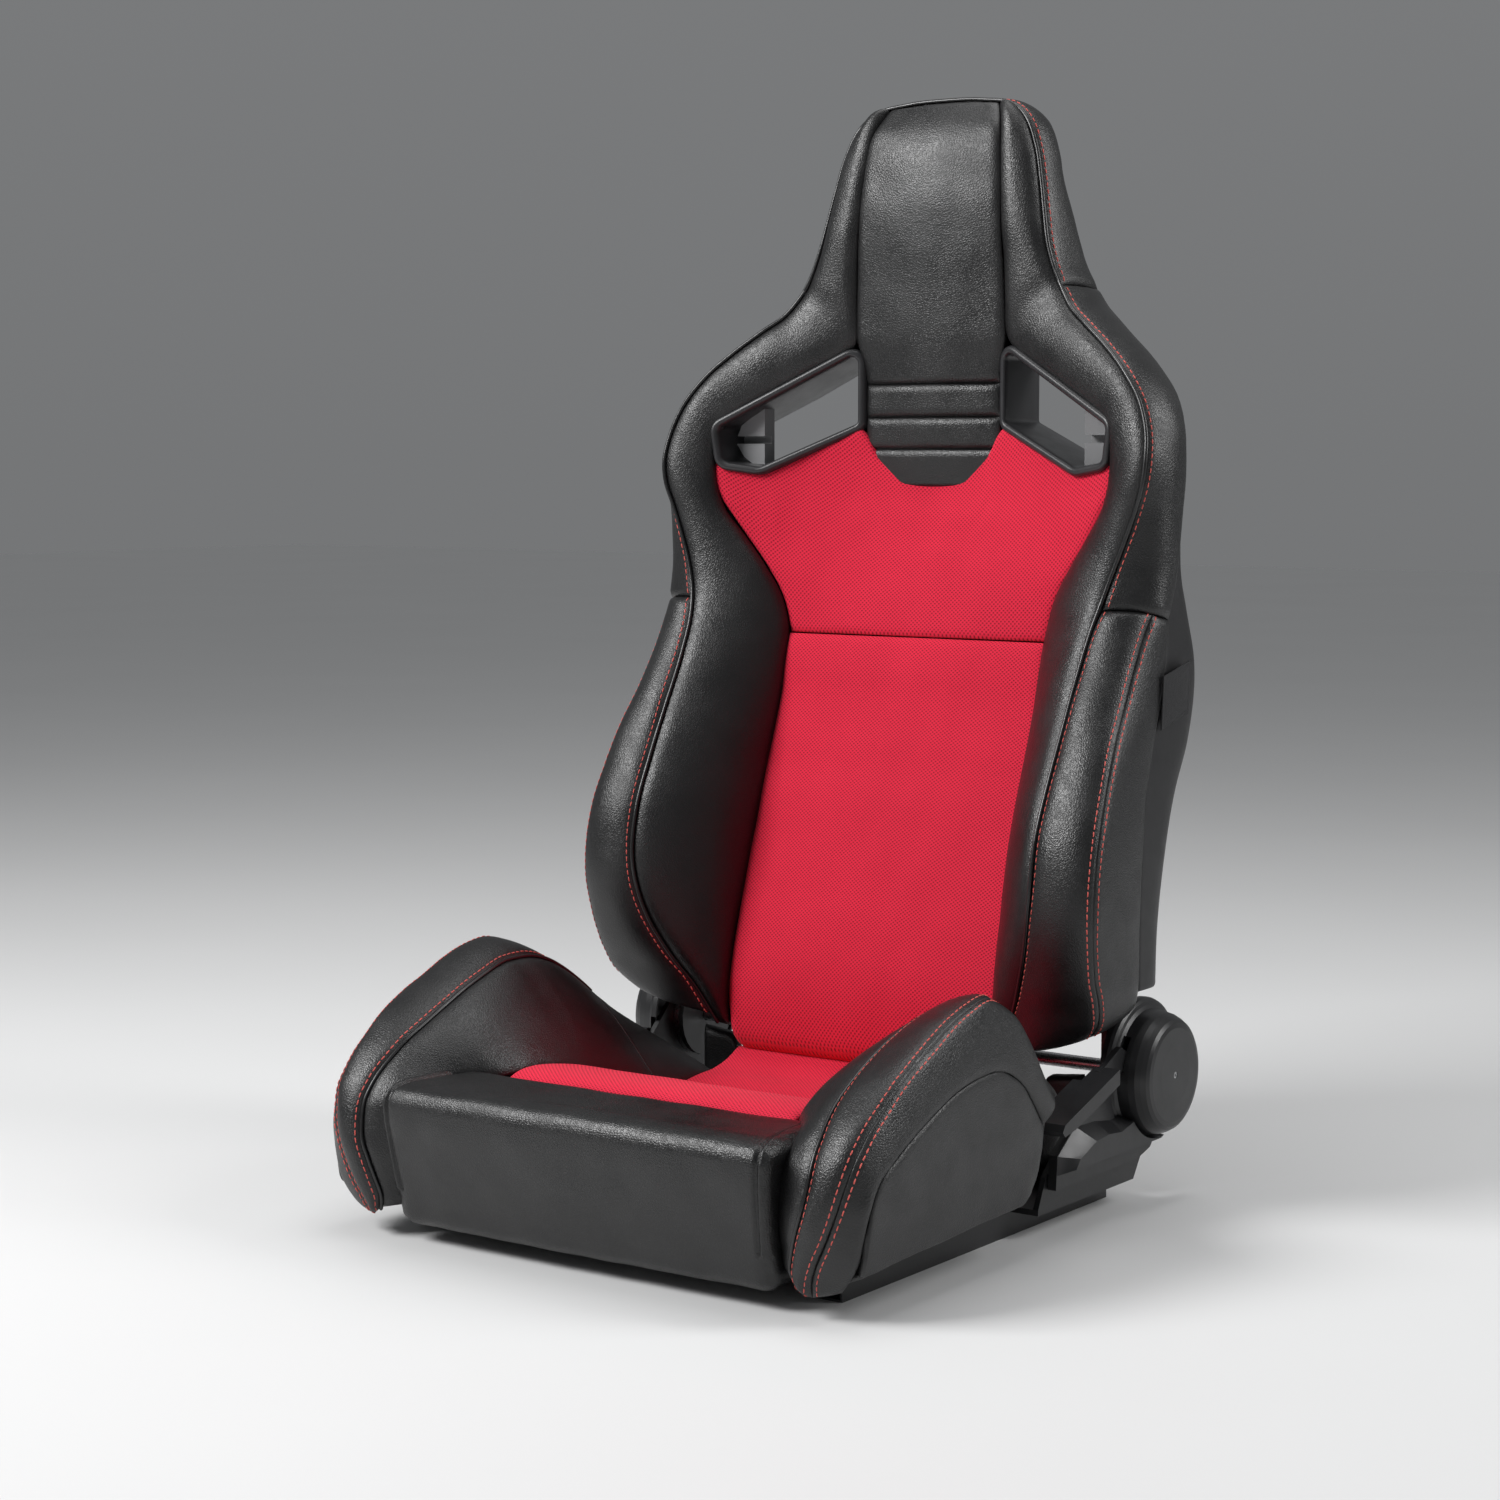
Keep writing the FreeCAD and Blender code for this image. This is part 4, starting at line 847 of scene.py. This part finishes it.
for side, sign in SIDES:
    tool = cutter(*bezel(side, sign), CUTTER_INSET, sign)
    cut = shell.object.modifiers.new("opening", "BOOLEAN")
    cut.operation, cut.object, cut.solver = "DIFFERENCE", tool, "EXACT"
    bpy.context.view_layer.update()
    ready = shell.object.evaluated_get(bpy.context.evaluated_depsgraph_get())
    mesh = bpy.data.meshes.new_from_object(ready)
    shell.object.modifiers.remove(cut)
    shell.object.data = mesh
    bpy.data.objects.remove(tool)

# ---------------- seat cushion
INSERT_SIDE = [(-147, 127), (-135, 131), (-118, 132.5), (-100, 131), (-75, 126.5), (-51, 121),
               (-10, 108), (34, 94), (66, 86), (86, 82.5), (96, 83), (120, 86), (145, 88),
               (165, 93), (184, 102)]
insert_edge = [(146, y, z - 1.5) for y, z in INSERT_SIDE]
insert_mid = [(0, y, z - (1.5 if y > -130 else 0)) for y, z in INSERT_SIDE]
cushion_red = Panel("cushion_insert_cover", [insert_edge, insert_mid, flip(insert_edge, -1)],
                    (0, 0, 1), "seat_base", RED, "red_fabric", depth=3.0, back=26, spacing=4.2,
                    ends=(True, False), end_roll=7, channels=((9.3, 3.2),), pucker=0.25)
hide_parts("cushion_insert")

ROLL_PROFILE = [(-147, 118), (-150, 127), (-160, 131.5), (-185, 133.5), (-215, 134), (-238, 133),
                (-249, 129), (-254, 121), (-254.5, 110), (-251, 85), (-246, 60), (-240, 36),
                (-236, 20), (-229, 14.5), (-221, 15), (-205, 15.5), (-186, 16), (-182, 24),
                (-182, 46), (-176, 53), (-152, 54), (-147, 64), (-147, 90)]


ROLL_HALF, ROLL_NARROWING = 196.0, 0.035


def front_roll():
    """Front roll of the cushion: one section swept across, with sewn end caps."""
    p = np.array(ROLL_PROFILE, float)
    closed = np.concatenate([p[-3:], p, p[:3]])
    t = chord_params(closed)
    dense = through(closed, t, np.linspace(t[3], t[3 + len(p)], 3000))
    u = chord_params(dense)
    at = np.linspace(0, u[-1], 170, endpoint=False)
    ring = sample(dense, u, at)
    tangent = unit(np.roll(ring, -1, axis=0) - np.roll(ring, 1, axis=0))
    out = np.stack([-tangent[:, 1], tangent[:, 0]], axis=1)
    if ((ring - ring.mean(axis=0)) * out).sum() < 0:
        out = -out
    steps = np.unique(np.concatenate([np.linspace(0, 164, 40), np.linspace(166, ROLL_HALF, 24),
                                      ROLL_HALF - EDGE_STEPS * 0.8]))
    seam = np.interp(-ring[:, 0], [135, 180, 220, 252], [170, 175, 180, 186])
    seam = np.where(ring[:, 1] < 45, 400.0, seam)
    xs = np.concatenate([-steps[::-1], steps[1:]])
    rings = []
    for x in xs:
        gap = ROLL_HALF - abs(x)
        shrink = 11.0 * (1 - rolled(np.array(gap), 17.0))
        groove = np.exp(-((abs(x) - seam) / 1.7) ** 2) * 2.6
        puff = 2.2 * np.clip((abs(x) - seam) / 4.0, 0, 1) * np.clip(gap / 8.0, 0, 1)
        bulge = 3.0 * (1 - (x / ROLL_HALF) ** 2)
        front = np.clip((-ring[:, 0] - 225) / 25, 0, 1)
        move = out * (bulge * front - shrink - groove + puff)[:, None]
        y, z = ring[:, 0] + move[:, 0], ring[:, 1] + move[:, 1]
        lift = 0.5 * wobble(x * np.ones_like(y), y, z, 90.0) - 0.5 * np.exp(
            -(gap / 9.0) ** 2) * wobble(z, y, x * np.ones_like(y), 12.0)
        lean = x * (1 - ROLL_NARROWING * np.clip((118 - z) / 118, 0, 1))
        rings.append(np.stack([lean, y + out[:, 0] * lift, z + out[:, 1] * lift], axis=1))
    made = ring_form("cushion_front_cover", rings, VINYL, "seat_base")
    outward(made)
    return made


roll_cover = front_roll()
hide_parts("cushion_front_roll")

THIGH_INNER = [(213, -232, 24), (208, -237, 37), (211, -240, 50), (216, -243, 67),
               (221, -244, 82), (224, -241, 98),
               (225, -236, 114), (224, -229, 125), (223, -221, 134), (221, -210, 144),
               (219, -194, 156), (217, -171, 168), (216, -146, 180), (216, -120, 191),
               (217, -93, 200), (219, -70, 206), (220, -55, 207.5), (220, -32, 207), (220, -7, 201),
               (220, 14, 191), (220, 43, 173), (220, 57, 163)]
THIGH_OUTER = [(222, -231, 17), (226, -237, 31), (232, -241, 44), (240, -242, 60),
               (246, -242, 74), (252, -241, 91),
               (256, -237, 108), (259, -232, 122), (260, -223, 134), (261, -212, 146),
               (262, -197, 158), (263, -176, 174), (263, -150, 188), (262, -127, 198),
               (262, -100, 210), (262, -74, 218), (261, -46, 222), (258, -30, 216.5), (253, -11, 203),
               (247, 8, 184), (240, 34, 152), (235, 56, 131)]
THIGH_REAR = [(263.5, -30, 207), (264.5, -11, 199), (265, 6, 181), (265, 32, 146), (263, 54, 121)]
THIGH_LOW = [(189, -212, 28), (186, -215, 38), (185, -219, 50), (185, -223, 66), (185, -225, 82),
             (185, -225, 98), (186, -222, 112), (187, -217, 118), (187, -210, 122), (183, -196, 124),
             (176, -180, 125), (166, -165, 126), (154, -148, 127), (147, -125, 128),
             (145, -100, 126), (144, -75, 121), (144, -50, 115), (144, -30, 109), (144, -8, 102),
             (144, 14, 95), (144, 43, 86), (144, 57, 82)]
TAIL_HIGH = [(220, 57, 163), (221, 80, 148), (221, 105, 133), (220, 126, 120), (217, 143, 107),
             (212, 153, 92)]
TAIL_LOW = [(144, 57, 82), (144, 80, 78), (144, 105, 78), (144, 126, 80), (146, 143, 80), (149, 153, 78)]
TAIL_FOOT = [(221, 57, 48), (221, 80, 48), (221, 105, 48), (220, 126, 50), (217, 143, 56),
             (212, 153, 64)]
HEEL = [((220, 57, 152), (236, 56, 131)), ((221, 61, 132), (258, 53, 121)),
        ((221, 63, 108), (266, 37, 104)),
        ((221, 63, 85), (264, 28, 68)), ((221, 58, 50), (262, 20, 48))]
UNDER = [((262, -222, 37), (222, -226, 24), (196, -226, 36)),
         ((264, -190, 40), (222, -190, 43), (192, -190, 47)),
         ((265, -120, 42), (222, -120, 45), (191, -120, 50)),
         ((265, -50, 45), (222, -50, 46), (191, -50, 50)),
         ((264, 5, 46), (222, 10, 46), (191, 10, 50)), ((262, 20, 50), (222, 56, 47), (191, 56, 50))]
ARC = [(243, -222, 22), (254, -226, 35), (261, -227, 46), (265, -227, 62), (268, -226, 78),
       (270, -223, 91),
       (270, -217, 101), (270, -209, 110), (271, -198, 118), (271, -186, 125), (271, -170, 133),
       (271, -150, 142), (271, -130, 150), (271, -110, 157), (271, -88, 162), (271, -66, 164.5),
       (271, -45, 164.5), (271, -33, 162), (271, -19, 156), (271, -4, 146), (270, 14, 128),
       (266, 36, 106)]
PATCH = [((266, -226, 66), (262, -226, 38)), ((269, -220, 95), (264, -220, 37.5)),
         ((270, -209, 110), (265, -209, 38)), ((271, -189, 123), (266, -189, 40)),
         ((271, -164, 136), (266, -164, 41)), ((271, -135, 148), (266, -135, 42)),
         ((271, -106, 158), (266, -106, 43)), ((271, -77, 163.5), (266, -77, 44.5)),
         ((271, -54, 165), (266, -54, 45)), ((271, -39, 164), (266, -39, 45)),
         ((271, -24, 158), (266, -24, 45.5)), ((271, -8, 149), (266, -8, 46)),
         ((270, 8, 134), (266, 6, 47)), ((269, 21, 119), (265, 18, 55)),
         ((267, 34, 106), (264, 29, 68))]

THIGH_CROWN = [0, 0, 0, 1, 1, 1, 2, 2, 3, 4, 5, 6, 7, 7, 7, 7, 7, 7, 6, 5, 3, 2]


def rim_middle():
    """Middle line of the outer thigh panel, nearer its top seam at the front."""
    before = len(THIGH_OUTER) - len(THIGH_REAR)
    line = []
    for k, (top, low) in enumerate(zip(THIGH_OUTER[:before], ARC)):
        share = min(0.5, 0.24 + 0.09 * (before - 1 - k))
        line.append(tuple(p + (q - p) * share for p, q in zip(top, low)))
    return line + THIGH_REAR


thigh_inner, thigh_top, thigh_rim, thigh_patch, thigh_tail = {}, {}, {}, {}, {}
for side, sign in SIDES:
    thigh_inner[side] = Panel("thigh_inner_" + side, [flip(THIGH_LOW, sign), flip(THIGH_INNER, sign)],
                              (-sign, 0, 0.8), "seat_base", crown=THIGH_CROWN, depth=3.6, back=10,
                              ends=(True, False), pucker=0.6)
    thigh_tail[side] = Panel("thigh_tail_" + side, [flip(TAIL_LOW, sign), flip(TAIL_HIGH, sign)],
                             (-sign, 0, 0.8), "seat_base", crown=2, depth=3.6, back=10,
                             ends=(False, True))
    thigh_top[side] = Panel("thigh_top_" + side, [flip(THIGH_INNER, sign), flip(THIGH_OUTER, sign)],
                            (0, -0.7, 0.7), "seat_base", crown=4.5, depth=3.0, roll=8, back=10)
    thigh_rim[side] = Panel("thigh_outer_" + side,
                            [flip(row, sign) for row in (THIGH_OUTER, rim_middle(), ARC)],
                            (sign, 0, 0), "seat_base", crown=1.5, depth=2.6, roll=7, back=10)
    thigh_patch[side] = Panel("thigh_patch_" + side, columns_of(PATCH, sign), (sign, 0, 0),
                              "seat_base", crown=1.5, depth=2.2, roll=6, back=9, end_roll=6, pucker=0.2)
    closing("thigh_heel_" + side, columns_of(HEEL, sign), (0.2 * sign, 1, 0), "seat_base",
            crown=3, depth=2.4)
    closing("thigh_under_" + side, columns_of(UNDER, sign), (0, 0, -1), "seat_base",
            crown=1, depth=2.4)
    closing("thigh_tail_side_" + side, [flip(TAIL_FOOT, sign), flip(TAIL_HIGH, sign)], (sign, 0, 0),
            "seat_base", crown=1.5, depth=2.4, ends=(False, True))
    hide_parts("thigh_bolster_" + side)
    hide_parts("thigh_side_panel_" + side)

# ---------------- piping and stitching
# Spacing of the points along piping, and two distances of a stitch row from its seam.
PIPING_STEP, ROW_NEAR, ROW_FAR = 2.5, 3.4, 4.2
for side, _ in SIDES:
    path = welt([(face[side], "b"), (gusset[side], "a")])
    tube("piping_backrest_" + side, even(path[2:-1], PIPING_STEP), 1.9, PIPING, "backrest")
    path = welt([(thigh_top[side], "a"), (thigh_inner[side], "b")], 2.0)
    tube("piping_thigh_" + side, even(path, PIPING_STEP), 1.7, PIPING, "seat_base")
    sew("stitching_backrest_" + side,
        [band[side].inset("a", ROW_FAR), gusset[side].inset("a", ROW_FAR),
         band[side].inset("b", ROW_NEAR), side_panel[side].inset("a", ROW_NEAR)], "backrest")
    sew("stitching_thigh_" + side,
        [ahead(thigh_top[side].inset("a", ROW_FAR), 40), ahead(thigh_top[side].inset("b", ROW_NEAR), -5),
         ahead(thigh_rim[side].inset("a", ROW_NEAR), -5)], "seat_base")
sew("stitching_head", [head_band.inset("a", ROW_FAR)], "backrest")
path = welt([(head_band, "a"), (head_pad, "a")])
tube("piping_head_top", even(path, PIPING_STEP), 1.8, PIPING, "backrest")

# ---------------- closings, foam, liner and tag
UNDER_FRONT = [(243, 155, 159), (226, 156, 156), (200, 158, 150), (176, 160, 142), (158, 164, 134),
               (149, 177, 123), (141, 203, 111), (90, 208, 111), (0, 209, 111)]
UNDER_MIDDLE = [(245, 177, 166), (235, 189, 172), (211, 201, 172), (184, 210, 168), (166, 222, 158),
                (153, 232, 146), (139, 240, 135), (86, 243, 133), (0, 243, 133)]
UNDER_REAR = [(247, 199, 173), (243, 222, 188), (222, 243, 194), (190, 248, 194), (172, 249, 194),
              (158, 250, 194), (135, 251, 194), (80, 253, 194), (0, 254, 194)]
closing("backrest_underside", [mirrored(line) for line in (UNDER_FRONT, UNDER_MIDDLE, UNDER_REAR)],
        (0, 0.3, -1), "backrest", roll=9, crown=0.5, depth=2.0)

# Painted shade: a dark vinyl strip across the cushion's rear, put in the gap where only shade is seen
# from the front, so the pale background does not show through.
STRIP_TOP = [(205, 214, 112), (187, 214, 110), (169, 214, 106), (155, 213, 72), (80, 213, 70),
             (0, 213, 70)]
STRIP_LOW = [(x, y, 52) for x, y, _ in STRIP_TOP]
closing("cushion_rear_shade_strip", [mirrored(line) for line in (STRIP_TOP, STRIP_LOW)], (0, 1, 0),
        "seat_base", crown=1.0, depth=2.2)

FOAM_YS = (-144, -100, -50, 0, 50, 100, 140, 166)
foam = Panel("cushion_foam_block", [[(x, y, 60.0) for y in FOAM_YS] for x in (143, 0, -143)],
             (0, 0, -1), "seat_base", FOAM, "foam", depth=2.6, roll=12, back=5, uneven=0.7, pucker=0.2)
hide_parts("cushion_foam")


def cloth_sheet(name, corner, across, along, thick, waves, material, body):
    """Thin two-sided cloth over a parallelogram, with soft waves along its own normal."""
    corner, across, along = (np.array(v, float) for v in (corner, across, along))
    wide, high = np.linalg.norm(across), np.linalg.norm(along)
    s, t = np.meshgrid(np.linspace(0, 1, 49), np.linspace(0, 1, 49))
    normal = unit(np.cross(across, along))
    edge = np.minimum(np.minimum(s, 1 - s) * wide, np.minimum(t, 1 - t) * high)
    hem = 0.28 * np.exp(-((edge - waves[1]) / (0.12 * waves[1] + 0.25)) ** 2)
    lift = waves[0] * (4 * s * (1 - s)) * (4 * t * (1 - t)) * (
        1 + 0.25 * np.sin(5.1 * s + 1.3) * np.cos(4.3 * t + 0.6))
    flat = corner + s[..., None] * across + t[..., None] * along
    top = flat + normal * (lift + thick / 2 - hem * (edge > 0.2))[..., None]
    low = flat + normal * (lift - thick / 2)[..., None]
    index = np.arange(s.size).reshape(s.shape)
    faces = []
    for i in range(s.shape[0] - 1):
        for j in range(s.shape[1] - 1):
            ring = index[[i, i, i + 1, i + 1], [j, j + 1, j + 1, j]].tolist()
            faces += [ring, [k + s.size for k in ring[::-1]]]
    border = [*index[0], *index[1:, -1], *index[-1, -2::-1], *index[-2:0:-1, 0]]
    for a, b in zip(border, border[1:] + border[:1]):
        faces.append([int(k) for k in (b, a, a + s.size, b + s.size)])
    made = make_object(name, np.concatenate([top.reshape(-1, 3), low.reshape(-1, 3)]), faces, material,
                       body)
    outward(made)
    return made


liner = cloth_sheet("underside_liner", (-182, -150, 21.8), (364, 0, 0), (0, 290, 0), 0.9, (-2.2, 9.0),
                    LINER, "seat_base")
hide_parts("seat_underliner")
tag = cloth_sheet("woven_side_tag", (264.2, 234, 414), (2.5, 44, 12), (0.6, 2, 46), 1.2, (1.2, 3.0),
                  TAG, "backrest")
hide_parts("side_tag")

# ---------------- CAD nodes that stay
for made in nodes.values():
    if made.hide_render:
        continue
    bevel = made.modifiers.new("soft_edges", "BEVEL")
    bevel.width, bevel.segments, bevel.limit_method = 0.0006, 2, "ANGLE"
    bevel.angle_limit = math.radians(35)
    bevel.harden_normals = True

# ---------------- stage, light, camera
# World brightness at the horizon, where it meets the far floor's, and higher up.
WORLD_LOW, WORLD_HIGH, WORLD_HIGH_AT = 0.185, 0.25, 0.7
FLOOR_HALF = 14
floor_mesh = bpy.data.meshes.new("floor")
floor_corners = [(x * FLOOR_HALF, y * FLOOR_HALF, 0) for x, y in ((-1, -1), (1, -1), (1, 1), (-1, 1))]
floor_mesh.from_pydata(floor_corners, [], [(0, 1, 2, 3)])
floor = bpy.data.objects.new("floor", floor_mesh)
scene.collection.objects.link(floor)
g = Graph("pale_floor")
tone = g.blend(g.noise(1.5, 3.0), (0.70, 0.70, 0.70), (0.74, 0.74, 0.74))
floor_mesh.materials.append(g.set(Base_Color=tone, Roughness=0.55))

world = bpy.data.worlds.new("studio")
world.use_nodes = True
sky = world.node_tree
aim = sky.nodes.new("ShaderNodeTexCoord")
height = sky.nodes.new("ShaderNodeSeparateXYZ")
sky.links.new(aim.outputs["Generated"], height.inputs[0])
grade = sky.nodes.new("ShaderNodeMapRange")
sky.links.new(height.outputs["Z"], grade.inputs[0])
grade.inputs[1].default_value, grade.inputs[2].default_value = 0.0, WORLD_HIGH_AT
grade.inputs[3].default_value, grade.inputs[4].default_value = WORLD_LOW, WORLD_HIGH
background = sky.nodes["Background"]
background.inputs[0].default_value = (0.96, 0.98, 1.0, 1)
sky.links.new(grade.outputs[0], background.inputs[1])
scene.world = world


def area_light(name, place, size, power, target=(0, 0.1, 0.5)):
    """A soft rectangular light (m, W) aimed at the seat."""
    data = bpy.data.lights.new(name, "AREA")
    data.shape, data.size, data.size_y, data.energy = "RECTANGLE", size[0], size[1], power
    made = bpy.data.objects.new(name, data)
    scene.collection.objects.link(made)
    made.location = place
    made.rotation_euler = (Vector(target) - Vector(place)).to_track_quat("-Z", "Y").to_euler()


area_light("key", (-1.45, -1.8, 2.2), (1.4, 1.1), 92, target=(0, 0, 0.5))
area_light("rim", (2.2, 1.2, 1.8), (0.8, 1.8), 40)
area_light("top", (0.0, 0.3, 2.6), (1.4, 1.4), 18)

CAMERA_PLACE, CAMERA_DOWN, CAMERA_TURN = (1.5, -2.1, 0.65), 5.515, 35.551  # m, degrees, degrees
camera_data = bpy.data.cameras.new("camera")
camera_data.lens, camera_data.sensor_width = 73.734, 36.0
camera_data.clip_start, camera_data.clip_end = 0.05, 60.0
camera = bpy.data.objects.new("camera", camera_data)
scene.collection.objects.link(camera)
camera.location = CAMERA_PLACE
camera.rotation_euler = (math.radians(90 - CAMERA_DOWN), 0.0, math.radians(CAMERA_TURN))
scene.camera = camera

bpy.context.view_layer.update()
